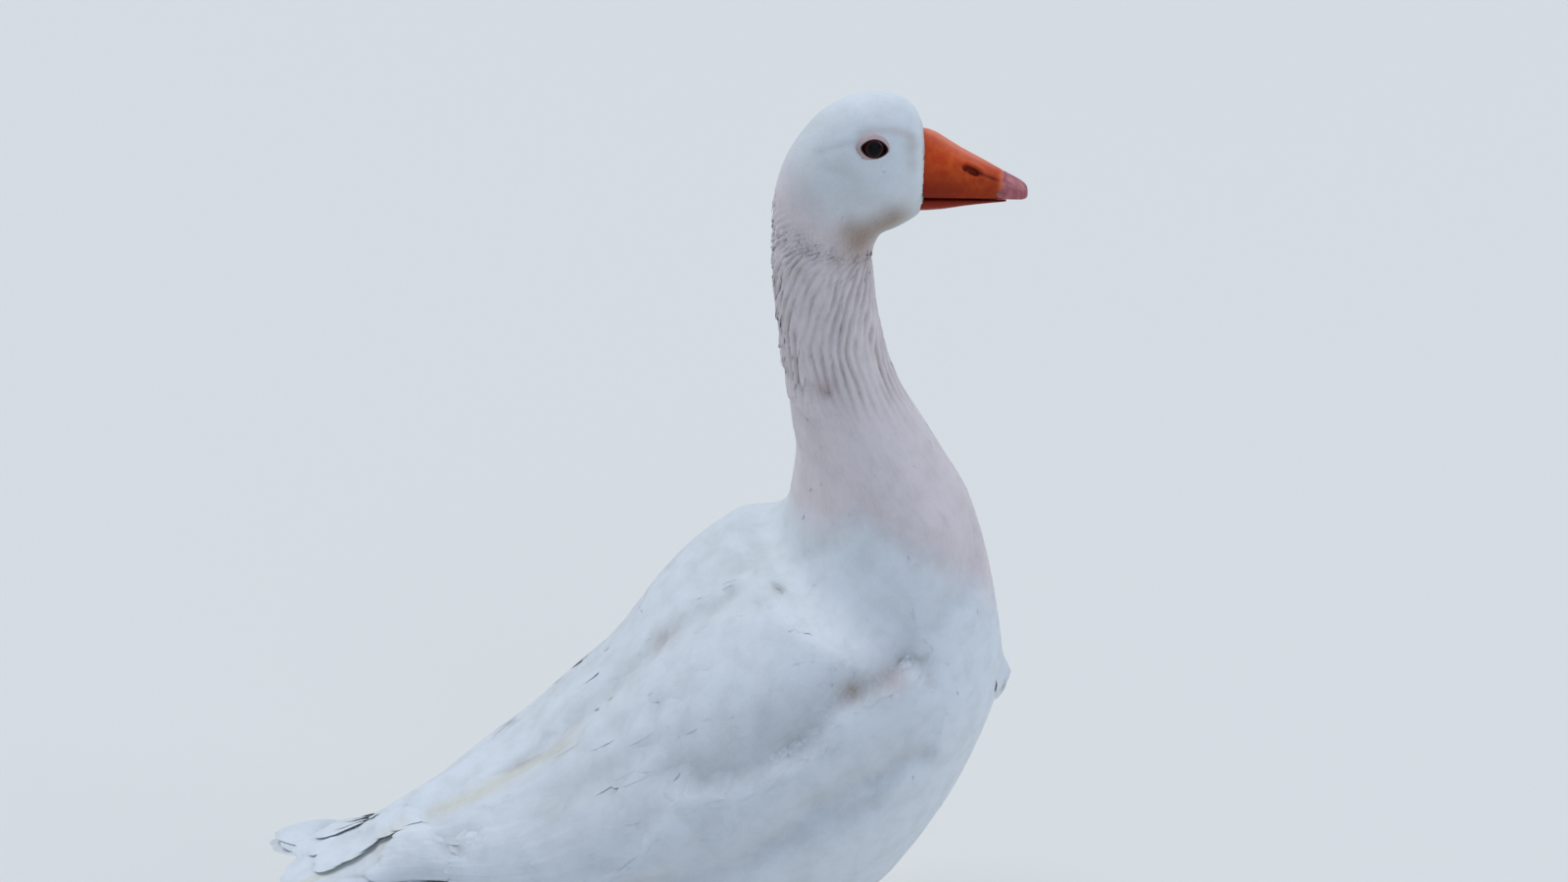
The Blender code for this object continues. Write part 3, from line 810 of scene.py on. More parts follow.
def trace(chart, route, per_stretch):
    """Points on the chart along a route of (place, degrees)."""
    route = np.array(route, float)
    at = np.linspace(0, len(route) - 1, per_stretch * (len(route) - 1) + 1)
    place = np.interp(at, range(len(route)), route[:, 0])
    degrees = np.interp(at, range(len(route)), route[:, 1])
    return chart.read(chart.points, chart.row(place), chart.column(degrees))


def distance_to(points, targets):
    """Distance from each point of a grid to the nearest target."""
    best = np.full(points.shape[:-1], 9.0)
    for target in targets:
        best = np.minimum(best, np.linalg.norm(points - target, axis=-1))
    return best


def fold_shape(chart, fold, side):
    """How deep one fold is at each point, from 0 to 1, and how far away its line lies.

    The coat above the line bulges down to it, and the coat below it comes out from under a lip.
    """
    route = [(place, side * degrees) for place, degrees in fold.route]
    far = distance_to(chart.points, trace(chart, route, 12))
    places, degrees = chart.grid()
    line = np.interp(places, *np.transpose(sorted(route)))
    towards_belly = np.sign(sum(angle for _, angle in route))
    above = smoothstep((line - degrees) * towards_belly, -2.5, 2.5)
    bulging = np.exp(-((far / (fold.upper * MM)) ** 1.15))
    overlapping = bell(far, fold.lower * MM)
    return overlapping + (bulging - overlapping) * above, far


def hollow(chart):
    places, degrees = chart.grid()
    place, angle, long, wide, depth = HOLLOW
    along = (places - place) / long
    round_it = (np.abs(degrees) - angle) / wide
    return depth * MM * np.exp(-(along**2) - round_it**2)


def furrow_phase(chart, rng):
    """Counts the ridges of a goose's neck: they slant back under the cheeks and run straight below."""
    place, degrees = chart.grid()
    slant = 24 * np.clip(place - 14.6, 0, None) + 18 * np.clip(place - 16.0, 0, None) + 5 * (place - 14.6)
    wander = 6 * lumps(chart, rng, 34, 24) + 2.0 * lumps(chart, rng, 14, 10)
    return (np.abs(degrees) - slant + wander) / FURROW


def neck_furrows(chart, rng):
    """How deep the furrows between the ridges are, from 0 to 1."""
    place, degrees = chart.grid()
    cleft = np.abs((chart.phase % 1.0) * 2 - 1) ** 2.2
    start, end = FURROWS_END
    strength = stretch(place, FURROWS_START, (start, end - 0.004 * np.abs(degrees)))
    patchy = 0.8 + 0.6 * lumps(chart, rng, 18, 8)
    return cleft * strength * np.clip(patchy, 0.2, 1.2)


def nape_steps(chart):
    """Ragged steps at the back of the neck, where a row of feathers ends."""
    place, degrees = chart.grid()
    degrees = np.abs(degrees)
    total = np.zeros_like(place)
    for end, height in NAPE_STEPS:
        ragged = end + 0.05 * np.sin(degrees / 7)
        edge = stretch(place, (ragged - 0.02, ragged + 0.06), (ragged + 0.1, ragged + 0.7))
        total += height * MM * edge * (1 - smoothstep(degrees, 30, 75))
    return total


def add_relief(chart, rng):
    """Moves the chart's surface along its normals, so that skin and feathers share the folds."""
    chart.phase = furrow_phase(chart, rng)
    chart.clefts = neck_furrows(chart, rng)
    height = nape_steps(chart) - FURROW_DEPTH * chart.clefts - hollow(chart)
    for fold in FOLDS:
        for side in (1, -1) if fold.mirrored else (1,):
            sunk, far = fold_shape(chart, fold, side)
            height -= fold.depth * MM * sunk
            # Each fold paints shade over its slopes, as strong as it is deep, and painted crease shade and
            # dirt along its line.
            line = fold.soil * bell(far, FOLD_LINE)
            chart.soil = np.maximum(chart.soil, np.maximum(line, FOLD_SHADE * fold.depth * sunk))
    place, _ = chart.grid()
    for hill, start, end, rows, columns in (BODY_HILLS, FINE_HILLS):
        height += hill * (1 - smoothstep(place, start, end)) * lumps(chart, rng, rows, columns)
    height += PUFF_HEIGHT * bell(distance_to(chart.points, trace(chart, [PUFF], 1)), PUFF_WIDTH)
    chart.relief = height
    chart.shape(chart.points + chart.normals * height[..., None])


# --- Markings and painted shade -------------------------------------------------------------------


def tone(red, green, blue):
    return np.array(rgb(red, green, blue)[:3])


WHITE = tone(226, 229, 232)
NECK_WHITE = tone(226, 212, 212)
# A soil brown, also used as painted shade in creases, in the back's groove and under the chin.
SOIL_AND_SHADE = tone(146, 116, 94)
STRAW = tone(206, 192, 140)
ROSE = tone(168, 128, 122)
DARK = tone(66, 58, 56)
SHADE = tone(128, 112, 112)
CLEFT = np.array([0.60, 0.53, 0.50])  # how much of the light stays between the ridges of the neck

# Stains and painted shade as place, degrees, reach in mm, colour and strength. The second list is for both
# sides.
STAINS_AND_SHADE = [
    (18.0, -130, 15, SOIL_AND_SHADE, 0.80),
    (18.4, -112, 9, SOIL_AND_SHADE, 0.45),
    (18.0, 130, 14, SOIL_AND_SHADE, 0.70),
    (19.4, -85, 24, ROSE, 0.14),
    (18.8, -40, 20, ROSE, 0.14),
    # Under the chin: partly brownish soil, partly painted shade where the head overhangs the throat.
    (20.4, -136, 12, SOIL_AND_SHADE, 0.70),
    (19.3, -138, 13, SOIL_AND_SHADE, 0.60),
    (20.4, 136, 12, SOIL_AND_SHADE, 0.55),
    (19.3, 138, 13, SOIL_AND_SHADE, 0.50),
    # Painted shade on the wing's bulges that turn away from the light.
    (6.9, -31, 34, SHADE, 0.16),
    (7.6, -34, 26, SHADE, 0.10),
    (9.0, -50, 24, SHADE, 0.13),
    (8.3, -43, 24, SHADE, 0.12),
    (14.0, -59, 8, ROSE, 0.50),
    (13.95, -62, 2.6, DARK, 0.50),
    # Along the crease between breast and wing: the dark marks are painted crease shadow, the rose and brown
    # ones partly painted shade, partly stains.
    (10.35, -74, 13, ROSE, 0.34),
    (10.8, -76, 4.5, DARK, 0.55),
    (10.85, -82, 3.0, DARK, 0.40),
    (9.85, -63, 9, SOIL_AND_SHADE, 0.55),
    (9.85, -64, 3.5, SOIL_AND_SHADE, 0.6),
    (10.3, 72, 12, ROSE, 0.30),
    (9.8, 63, 9, SOIL_AND_SHADE, 0.40),
    (10.58, -18, 3.6, DARK, 0.75),
    (10.62, -20, 2.0, DARK, 0.50),
    # Along the back's middle groove: partly painted groove shade, partly dirt.
    (8.6, -4, 10, SOIL_AND_SHADE, 0.40),
    (10.35, -141, 4.0, DARK, 0.60),
]
PAIRED_STAINS = [(21.9, 68, 5, ROSE, 0.30), (21.8, 86, 5, ROSE, 0.20), (22.8, 118, 2.2, DARK, 0.55)]
# Soiled edges of the tertials, a line of dirt and painted crease shade in a fold beside them, a painted
# shadow in a gap on the far side of the back, the brows and a faint stroke behind the eyes: route, then as for
# stains
STREAKS = [
    ([(7.3, -10), (6.9, -7), (6.5, -8), (6.1, -8), (5.7, -7)], 6.0, STRAW, 0.42),
    # Partly painted crease shade, partly dirt.
    ([(7.4, -7), (7.15, -6), (6.6, -2)], 1.8, SOIL_AND_SHADE, 0.40),
    ([(5.2, -7), (4.7, -16), (4.3, -22)], 5.0, STRAW, 0.30),
    # A painted shadow: the dark gap on the far side of the back.
    ([(6.44, 34), (6.6, 29), (6.74, 25)], 2.2, DARK, 0.70),
    ([(20.5, -53), (21.1, -56), (21.9, -58)], 3.0, ROSE, 0.34),
    ([(20.5, 53), (21.1, 56), (21.9, 58)], 3.0, ROSE, 0.34),
]
# Where the rosy neck begins, as degrees from the upper line and place, and where it fades out
NECK_BORDER = [(0, 11.45), (25, 11.5), (50, 11.9), (80, 11.75), (112, 11.6), (150, 11.2), (180, 11.1)]
NECK_END = (17.6, 19.2)
FACE_RIM, RIM_STRENGTH = (22.5, 22.9), 0.4  # the rosy rim round the base of the bill


def marked(chart, colour, route, reach, tint, strength):
    share = strength * bell(distance_to(chart.points, trace(chart, route, 6)), reach * MM)
    return laid_over(colour, tint, share)


def markings_and_shade(chart):
    """The coat's colour at every point of the chart, for skin and feathers alike, with painted shade along the
    folds, in some stains and between the ridges of the neck.
    """
    place, degrees = chart.grid()
    border = np.interp(np.abs(degrees), *np.transpose(NECK_BORDER))
    neck = smoothstep(place - border, -0.25, 0.35) * (1 - smoothstep(place, *NECK_END))
    colour = laid_over(WHITE, NECK_WHITE, neck)
    for route, *look in STREAKS:
        colour = marked(chart, colour, route, *look)
    # Painted shade of the folds, and the painted crease shade and dirt of their lines.
    colour = laid_over(colour, SHADE, chart.soil)
    colour = laid_over(colour, ROSE, RIM_STRENGTH * smoothstep(place, *FACE_RIM))
    paired = [(at, side * angle, *look) for at, angle, *look in PAIRED_STAINS for side in (-1, 1)]
    for at, angle, *look in STAINS_AND_SHADE + paired:
        colour = marked(chart, colour, [(at, angle)], *look)
    return colour * (1 - chart.clefts[..., None] * (1 - CLEFT))


# --- Feathers -------------------------------------------------------------------------------------

# Of each kind: stations along a vane as shares of its length, and its section there, as points of the
# upper side from edge to edge and then of the lower side back: across, and up in half thicknesses.
PLAIN_SECTION = [(-1, 0), (0, 1), (1, 0), (0, -1)]
QUILL_SECTION = [
    *[(-1, 0), (-0.5, 0.8), (-0.05, 1), (0, 2.4), (0.05, 1), (0.5, 0.8)],
    *[(1, 0), (0.5, -0.8), (0.05, -1), (-0.05, -1), (-0.5, -0.8)],
]
KINDS = {
    "small": ([0.0, 0.34, 0.62, 0.84, 1.0], PLAIN_SECTION),
    "middle": ([0.0, 0.3, 0.55, 0.75, 0.89, 0.97, 1.0], PLAIN_SECTION),
    "large": ([0.0, 0.12, 0.26, 0.4, 0.54, 0.66, 0.77, 0.86, 0.93, 0.975, 1.0], QUILL_SECTION),
}
PATCH = 0.003  # size of a vane's patch in the unwrap
THIN, STURDY = 0.12 * MM, 0.18 * MM  # half thickness of a contour feather and of a quill at the root
MOST_TRIANGLES = 190000  # of one coat piece


def outline(share, tip):
    """Half width of a vane along its length. tip is where the rounded end begins."""
    shaft = 0.34 + 0.66 * smoothstep(share, 0.0, 0.5)
    past = np.clip((share - tip) / (1 - tip), 0, 1)
    return shaft * np.sqrt(np.clip(1 - past**2.2, 0.012, 1))


class Vanes:
    """A batch of feathers of one kind. cover() grows them on a chart, add() takes ready-made ones."""

    def __init__(self, kind, arrays=None):
        self.kind = kind
        shares, section = KINDS[kind]
        self.shares, self.section = np.array(shares), np.array(section, float)
        self.upper = [j for j in range(len(section)) if section[j][1] > -0.5]
        self.batches = [arrays] if arrays else []

    def trail(self, chart, row, column, length, heading, bend=0.0):
        """Centre lines from roots along the coat's lie, turned by heading and more toward the tip."""
        rows, columns = [row], [column]
        for before, after in zip(self.shares, self.shares[1:]):
            turn = heading + bend * (after + before) / 2
            down = -unit(chart.read(chart.along, row, column))
            normal = unit(chart.read(chart.normals, row, column))
            down = unit(down - normal * dot(down, normal))
            across = np.cross(normal, down)
            lay = down * np.cos(turn)[:, None] + across * np.sin(turn)[:, None]
            row, column = chart.step(row, column, lay * ((after - before) * length)[:, None])
            rows.append(row)
            columns.append(column)
        return np.stack(rows, 1), np.stack(columns, 1)

    def lead(self, chart, roots, tips, bow):
        """Centre lines from roots to tips, both as place and degrees. bow bends them, in degrees."""
        share = self.shares[None]
        place = roots[:, :1] * (1 - share) + tips[:, :1] * share
        degrees = roots[:, 1:] * (1 - share) + tips[:, 1:] * share
        degrees = degrees + bow[:, None] * 4 * share * (1 - share)
        return chart.row(place), chart.column(degrees)

    def cover(
        self, chart, rows, columns, width, depth, camber,
        base=0, rise=0, flat=2.6, curl=0, roll=0, tint=1, thick=THIN, tip=0.6, soft=SOFTNESS,
    ):
        """Feathers along centre lines on the chart. Lengths are in metres, for all or one for each.

        base lifts the whole feather over the coat's surface and rise its tip, flat says how soon it
        lies along the surface, curl bends its end down, roll tips it sideways, and tint shades it.
        """
        count = len(rows)

        def each(value):
            return np.broadcast_to(np.asarray(value, float), (count,))[:, None]

        spine = chart.read(chart.points, rows, columns)
        length = np.linalg.norm(np.diff(spine, axis=1), axis=-1).sum(1)
        normal = unit(chart.read(chart.normals, rows, columns))
        across = unit(np.cross(normal, np.gradient(spine, axis=1)))
        share = self.shares[None]
        half = each(width) / 2
        reach = half * outline(share, tip)
        middle = each(base) + each(rise) * share - each(depth) * (1 - share) ** each(flat)
        drop = each(camber) * smoothstep(share, 0, 0.4)
        bent = each(curl) * smoothstep(share, 0.7, 1.0) ** 2
        points = np.empty((count, len(self.shares), len(self.section), 3))
        smooth, colour = np.empty_like(points), np.empty_like(points)
        for j, (side, level) in enumerate(self.section):
            r, c = chart.step(rows, columns, across * (side * reach)[..., None])
            height = middle + each(thick) * (1 - 0.6 * share) * level - bent
            height = height - drop * side * side + each(roll) * side * reach
            smooth[:, :, j] = unit(chart.read(chart.normals, r, c))
            points[:, :, j] = chart.read(chart.points, r, c) + smooth[:, :, j] * height[..., None]
            colour[:, :, j] = chart.read(chart.colours, r, c) * each(tint)[..., None]
        roots = chart.unwrap(chart.shares(rows[:, 0], columns[:, 0]))
        self.add(points, colour, half[:, 0], length, roots, smooth, soft)

    def add(self, points, colour, half, length, roots, smooth, soft):
        """points is indexed by feather, station, section point and xyz, and colour by the same and rgb."""
        top = points[:, :, self.upper]
        own = unit(np.cross(np.gradient(top, axis=2), np.gradient(top, axis=1)))
        own *= np.sign(dot(own, smooth[:, :, self.upper]))
        normals = smooth.copy()
        normals[:, :, self.upper] = unit(own * (1 - soft) + smooth[:, :, self.upper] * soft)
        local = np.zeros((*points.shape[:3], 2))
        local[..., 0] = self.section[:, 0][None, None] * half[:, None, None]
        local[..., 1] = (self.shares[None] * length[:, None])[..., None]
        self.batches.append((points, colour, local, roots, normals))

    def gathered(self):
        return [np.concatenate(arrays) for arrays in zip(*self.batches)]

    def build(self, name):
        """One mesh of all the feathers, with sharp edges where the upper side meets the lower."""
        points, colours, local, roots, normals = self.gathered()
        count, stations, ring, _ = points.shape
        size = stations * ring
        walls = (vane_faces(self.section, stations) + np.arange(count)[:, None, None] * size).reshape(-1, 3)
        mesh = bpy.data.meshes.new(name)
        mesh.vertices.add(count * size)
        mesh.vertices.foreach_set("co", points.astype(np.float32).ravel())
        add_faces(mesh, walls, end_faces(count, stations, ring))
        corners = corner_vertices(mesh)
        paint(mesh, colours.reshape(-1, 3))
        span = np.abs(local).max(axis=(1, 2), keepdims=True)
        patch = roots[:, None, None] + (local / span / [2, 1] - [0, 0.5]) * PATCH
        set_uv(mesh, "OFBake", patch.reshape(-1, 2)[corners])
        set_uv(mesh, "Vane", local.reshape(-1, 2)[corners])
        mark_rims(mesh, self.section)
        normals = normals.reshape(-1, 3)[corners]
        normals[self.facing_down(corners, count, stations)] *= -1
        own = mesh.attributes.new("custom_normal", "FLOAT_VECTOR", "CORNER")
        own.data.foreach_set("vector", normals.astype(np.float32).ravel())
        return linked(name, mesh)

    def facing_down(self, corners, count, stations):
        """Which face corners look down: those of the lower sides, whose faces come before the caps."""
        ring = len(self.section)
        inner = ~np.isin(np.arange(ring), self.upper)
        wall = inner | np.roll(inner, -1)
        down = inner[corners % ring]
        walls = np.repeat(np.tile(np.tile(wall, stations - 1), count), 6)
        down[: len(walls)] |= walls
        return down


def vane_faces(section, stations):
    """Triangles round a vane. Both its sides are cut along the same diagonals, so they never cross."""
    faces = []
    ring = len(section)
    for k in range(stations - 1):
        for j in range(ring):
            n = (j + 1) % ring
            here, there = k * ring + j, k * ring + n
            if abs(section[j][0]) > abs(section[n][0]):
                faces += [(here, here + ring, there + ring), (here, there + ring, there)]
            else:
                faces += [(here, here + ring, there), (here + ring, there + ring, there)]
    return np.array(faces)


def end_faces(count, stations, ring):
    """The two end caps of each vane, each a polygon with as many corners as the section."""
    first = np.arange(ring)
    both = np.stack([first, first[::-1] + (stations - 1) * ring])
    return (both[None] + np.arange(count)[:, None, None] * stations * ring).reshape(-1, ring)


def add_faces(mesh, *groups):
    """Adds polygons given as arrays with one row for each face."""
    corners = np.concatenate([group.ravel() for group in groups])
    sizes = np.concatenate([np.full(len(group), group.shape[1]) for group in groups])
    starts = np.concatenate([[0], np.cumsum(sizes)[:-1]])
    mesh.loops.add(len(corners))
    mesh.loops.foreach_set("vertex_index", corners.astype(np.int32))
    mesh.polygons.add(len(sizes))
    mesh.polygons.foreach_set("loop_start", starts.astype(np.int32))
    mesh.polygons.foreach_set("loop_total", sizes.astype(np.int32))
    mesh.update(calc_edges=True)
    mesh.shade_smooth()


def mark_rims(mesh, section):
    """Sharp edges where the upper side of a vane meets the lower."""
    first, second = read_all(mesh.edges, "vertices", 2, np.int32).T % len(section)
    rims = np.flatnonzero(np.abs(section[:, 0]) == 1)
    sharp = (first == second) & np.isin(first, rims)
    mesh.attributes.new("sharp_edge", "BOOLEAN", "EDGE").data.foreach_set("value", sharp)


def coat_pieces(name, vanes, material):
    """One or more coat pieces, each under the limit of triangles."""
    per_vane = 2 * (len(vanes.shares) - 1) * len(vanes.section) + 2 * (len(vanes.section) - 2)
    arrays = vanes.gathered()
    roots = arrays[3]
    pieces = math.ceil(len(roots) * per_vane / MOST_TRIANGLES)
    order = np.argsort(roots[:, 0], kind="stable")
    for i, chosen in enumerate(np.array_split(order, pieces)):
        part = Vanes(vanes.kind, [values[chosen] for values in arrays])
        finished(part.build(f"{name}_{i + 1}"), material)


# --- Coat of the body -----------------------------------------------------------------------------

COAT_END = 3.1  # place behind which the tail's own feathers take over
SMALL_FROM = 13.4  # place from which the feathers are small
COAT_FRONT = 22.9
UNDER_FROM, UNDER_TO = 3.4, 7.6  # places of the feathers under the rear of the wings
UNDER_BASE = -4.6 * MM
RUFFLE, RUFFLED = 1.3 * MM, 0.10  # how far up the ruffled feathers of the nape stand, and their share
TUFT_PLACE, TUFT_DEGREES, TUFT_COUNT = 10.66, -143, 16


def coat_at(chart, row, name):
    return MM * np.interp(chart.place(row), COAT["place"], COAT[name])


def scattered(chart, low, high, rng, keep, spread=1.0):
    """Roots spread evenly over the chart's rows from low to high, as far apart as COAT says."""
    place, _ = chart.grid()
    spacing = spread * MM * np.interp(place, COAT["place"], COAT["spacing"])
    area = np.linalg.norm(np.cross(chart.along, chart.around), axis=-1)
    weight = np.where((place >= low) & (place < high), area / spacing**2, 0.0) * keep
    wanted = int(weight.sum() * 4)
    picks = rng.choice(weight.size, size=wanted, p=(weight / weight.sum()).ravel())
    row = picks // chart.columns + rng.uniform(-0.5, 0.5, wanted)
    column = picks % chart.columns + rng.uniform(-0.5, 0.5, wanted)
    reach = spread * MM * np.interp(chart.place(row), COAT["place"], COAT["spacing"])
    chosen = thinned(chart.read(chart.points, row, column), reach)
    return row[chosen], column[chosen]


def thinned(points, reach):
    """Indices of points of which no two are nearer than their reach."""
    tree = search_tree(points)
    free = np.ones(len(points), bool)
    chosen = []
    for i, point in enumerate(points):
        if not free[i]:
            continue
        chosen.append(i)
        for _, near, _ in tree.find_range(point, reach[i]):
            free[near] = False
    return np.array(chosen)


def furrow_heading(chart, row, column):
    """The angle from the lie of the coat to the ridges of the neck, where there are any."""
    slope_r = np.gradient(chart.phase, axis=0)
    slope_c = (np.roll(chart.phase, -1, 1) - np.roll(chart.phase, 1, 1)) / 2
    r, c = row.astype(int), np.mod(column, chart.columns).astype(int)
    along, around = chart.read(chart.along, row, column), chart.read(chart.around, row, column)
    sideways = -slope_r[r, c] / np.linalg.norm(along, axis=-1)
    forward = slope_c[r, c] / np.linalg.norm(around, axis=-1)
    turn = np.arctan2(sideways, np.abs(forward)) * np.sign(forward)
    return np.clip(turn, -0.9, 0.9) * stretch(chart.place(row), (13.3, 14.2), FURROWS_END)


def clear_of_eyes(spines, shares):
    """Which share of each feather, given by its centre line, ends before the opening of an eye."""
    free = np.ones(len(spines))
    for side in SIDES:
        centre, _, axes = eye_frame(side)
        at = (spines - centre) @ axes.T
        inside = (at[..., 0] / LID_CLEAR[0]) ** 2 + (at[..., 1] / LID_CLEAR[1]) ** 2 < 1
        inside &= at[..., 2] > 0
        first = np.where(inside.any(1), inside.argmax(1), len(shares) - 1)
        before = np.where(inside.any(1), shares[np.maximum(first - 1, 0)], 1.0)
        free = np.minimum(free, before)
    return free


def ruffled(chart, rows, columns, rng):
    """A few feathers stand up a little at the back of the neck."""
    place, degrees = chart.place(rows[:, -1]), np.abs(chart.degrees(columns[:, -1]))
    nape = stretch(place, (13.2, 14.0), (17.2, 18.0)) * (1 - smoothstep(degrees, 20, 60))
    return RUFFLE * nape * (rng.random(len(rows)) < RUFFLED)


def contour_feathers(vanes, chart, low, high, keep, rng):
    row, column = scattered(chart, low, high, rng, keep)
    length = coat_at(chart, row, "length") * rng.uniform(0.85, 1.12, len(row))
    heading, bend = rng.normal(0, 0.08, len(row)), rng.normal(0, 0.1, len(row))
    if vanes.kind == "small":
        heading = heading * 0.6 + furrow_heading(chart, row, column)
        lines = vanes.trail(chart, row, column, length, heading, bend)
        share = clear_of_eyes(chart.read(chart.points, *lines), vanes.shares)
        kept = share > 0.3
        length = length * share
        row, column, length, heading, bend = (v[kept] for v in (row, column, length, heading, bend))
    lines = vanes.trail(chart, row, column, length, heading, bend)
    count = len(row)
    width, depth, camber, rise, curl = (
        coat_at(chart, row, name) for name in ("width", "depth", "camber", "rise", "curl")
    )
    width = width * rng.uniform(0.9, 1.1, count)
    rise = rise * rng.uniform(0.9, 1.1, count) + ruffled(chart, *lines, rng)
    roll, tint = rng.normal(0, 0.008, count), rng.uniform(0.985, 1.01, count)
    more = {"rise": rise, "roll": roll, "curl": curl, "tint": tint}
    vanes.cover(chart, *lines, width, depth, camber, flat=3.6, tip=0.5, **more)


def body_coat(chart, wing, rng):
    """Contour feathers over trunk, neck and head, and deeper ones under the rear of the wings."""
    small, middle, under = Vanes("small"), Vanes("middle"), Vanes("middle")
    place, degrees = chart.grid()
    degrees = np.abs(degrees)
    edge = np.where(wing, degrees, 0).max(1, keepdims=True)
    behind = (wing & (place < 8.9) & (degrees < edge - 8)) | ((place < 3.6) & (degrees < 92))
    contour_feathers(middle, chart, COAT_END, SMALL_FROM, ~behind, rng)
    contour_feathers(small, chart, SMALL_FROM, COAT_FRONT, ~behind, rng)
    row, column = scattered(chart, UNDER_FROM, UNDER_TO, rng, behind, 1.5)
    count = len(row)
    lines = under.trail(chart, row, column, rng.uniform(0.034, 0.046, count), rng.normal(0, 0.08, count))
    under.cover(chart, *lines, 26 * MM, 3 * MM, 0.4 * MM, base=UNDER_BASE, rise=0.4 * MM, curl=0.6 * MM)
    return small, middle, under


def breast_tuft(chart, rng):
    """A few ruffled feathers that stand out from the side of the breast."""
    vanes = Vanes("middle")
    row = chart.row(rng.normal(TUFT_PLACE, 0.06, TUFT_COUNT))
    column = chart.column(rng.normal(TUFT_DEGREES, 3.5, TUFT_COUNT))
    length, heading = rng.uniform(0.026, 0.036, TUFT_COUNT), rng.normal(0, 0.12, TUFT_COUNT)
    lines = vanes.trail(chart, row, column, length, heading)
    rise = np.linspace(1 * MM, 5 * MM, TUFT_COUNT)
    size = rng.uniform(0.012, 0.016, TUFT_COUNT)
    vanes.cover(chart, *lines, size, 3 * MM, 1 * MM, rise=rise, flat=1.4, curl=3 * MM, roll=0.12)
    return vanes


# --- Wings and tail -------------------------------------------------------------------------------

# A row of feathers of the folded wing, from the back down to the flank. Roots and tips go evenly from
# one pair of place and share to the other. The share runs over the wing from its upper edge, 0, to its
# lower, 1. Width, depth of the root, height of the whole row and lift of the tips are in millimetres.
Flight = namedtuple("Flight", "count root_from root_to tip_from tip_to width depth base rise kind")
FLIGHTS = [
    Flight(9, (6.6, 0.40), (6.2, 0.84), (4.9, 0.22), (4.1, 0.60), 20, 4.0, (-2.6, -3.8), 0.4, "large"),
    Flight(9, (6.9, 0.42), (6.4, 0.88), (5.0, 0.16), (3.72, 0.66), 20, 3.5, (-0.8, -1.8), 0.6, "large"),
    Flight(12, (7.7, 0.42), (7.1, 1.00), (5.9, 0.30), (4.95, 0.97), 26, 4.0, (-0.5, -1.2), 0.6, "large"),
    Flight(7, (8.1, 0.06), (7.7, 0.52), (5.35, -0.02), (5.75, 0.42), 38, 4.5, (0.3, -0.5), 0.7, "large"),
    Flight(10, (8.0, 0.14), (7.6, 1.00), (6.50, 0.12), (6.20, 0.99), 30, 4.5, (0.0, -0.4), 0.4, "large"),
    Flight(11, (8.3, 0.07), (8.0, 0.98), (7.00, 0.07), (6.80, 0.96), 29, 4.5, (0.1, -0.1), 0.35, "middle"),
    Flight(12, (8.65, 0.12), (8.35, 1.02), (7.45, 0.12), (7.30, 1.0), 27, 4.5, (0.1, 0.0), 0.3, "middle"),
    Flight(12, (8.9, 0.05), (8.65, 0.97), (7.85, 0.05), (7.75, 0.96), 25, 4.5, (0.1, 0.0), 0.3, "middle"),
    Flight(13, (9.15, 0.09), (8.9, 1.01), (8.20, 0.09), (8.15, 0.99), 24, 4.5, (0.1, 0.0), 0.3, "middle"),
    Flight(14, (9.4, 0.05), (9.15, 0.97), (8.50, 0.05), (8.50, 0.96), 22, 4.5, (0.1, 0.0), 0.25, "middle"),
    Flight(14, (9.6, 0.08), (9.4, 1.01), (8.78, 0.08), (8.80, 0.99), 20, 4.5, (0.1, 0.0), 0.25, "middle"),
]
# How wing feathers are built: camber, roll, thickness, where the rounded end starts, and softness
BUILD = {
    "large": (0.9 * MM, 0.02, STURDY, 0.66, QUILL_SOFTNESS),
    "middle": (0.5 * MM, 0.006, THIN, 0.45, WING_SOFTNESS),
}
WING_BASE = {1: -0.9, -1: 0.6}  # how much higher the feathers of the left and the right wing lie, in mm
TERTIALS = 3  # their row in the list; those of the right wing cross the middle of the back
CROSSING = 0.17  # how far they cross it, as a share of the wing
WING_NEAR = 4 * MM  # the chart lies on a wing where it is no farther from one
WING_PLACES = (3.3, 11.6)

# The tail begins at a place of the chart and spreads over a share of the half width of its solid.
TAIL_ROOT = 4.8
TAIL_LINE = (1.7, 2.2, 3.0, 4.0, 5.0)  # places through which its two sheets are drawn
FAN_ROOT, FAN_SPREAD = 0.5, 0.46
FAN_DEGREES = 62  # how far round the chart the outermost feathers take their colour from
TAIL_NOTCH, NOTCH_WIDTH, NOTCH_DEPTH = 0.45, 0.2, 13  # shares of the half width, and depth in mm
TAIL_POINTS = 10 * MM  # how far the drawn-on sheets of the tail reach behind its solid
# Rows of the tail: feathers, how much shorter than the longest, width and depth in mm, and whether below
TAIL_ROWS = [(14, 0, 23, 0.6, False), (10, 20, 28, 3.4, False), (11, 4, 25, 0.6, True)]


def wing_zone(chart):
    """Which points of the chart lie on a wing."""
    tree = surface_tree(merged_copy("spare_wings", WINGS))
    flat, place = chart.points.reshape(-1, 3), chart.grid()[0].ravel()
    low, high = WING_PLACES
    zone = [low < p < high and tree.find_nearest(q, WING_NEAR)[0] is not None for p, q in zip(place, flat)]
    return np.array(zone).reshape(chart.rows, chart.columns)


class WingSpan:
    """Turns a share over the folded wing, from its upper edge to its lower, into degrees."""

    def __init__(self, chart, zone):
        degrees = np.abs(chart.grid()[1])
        covered = np.flatnonzero(zone.any(1))
        self.places = chart.place(covered)
        self.first = [degrees[row][zone[row]].min() for row in covered]
        self.last = [degrees[row][zone[row]].max() for row in covered]

    def degrees(self, place, share):
        first = np.interp(place, self.places, self.first)
        return first + (np.interp(place, self.places, self.last) - first) * share


def evenly(start, end, count):
    return np.linspace(0, 1, count)[:, None] * (np.array(end) - start) + start


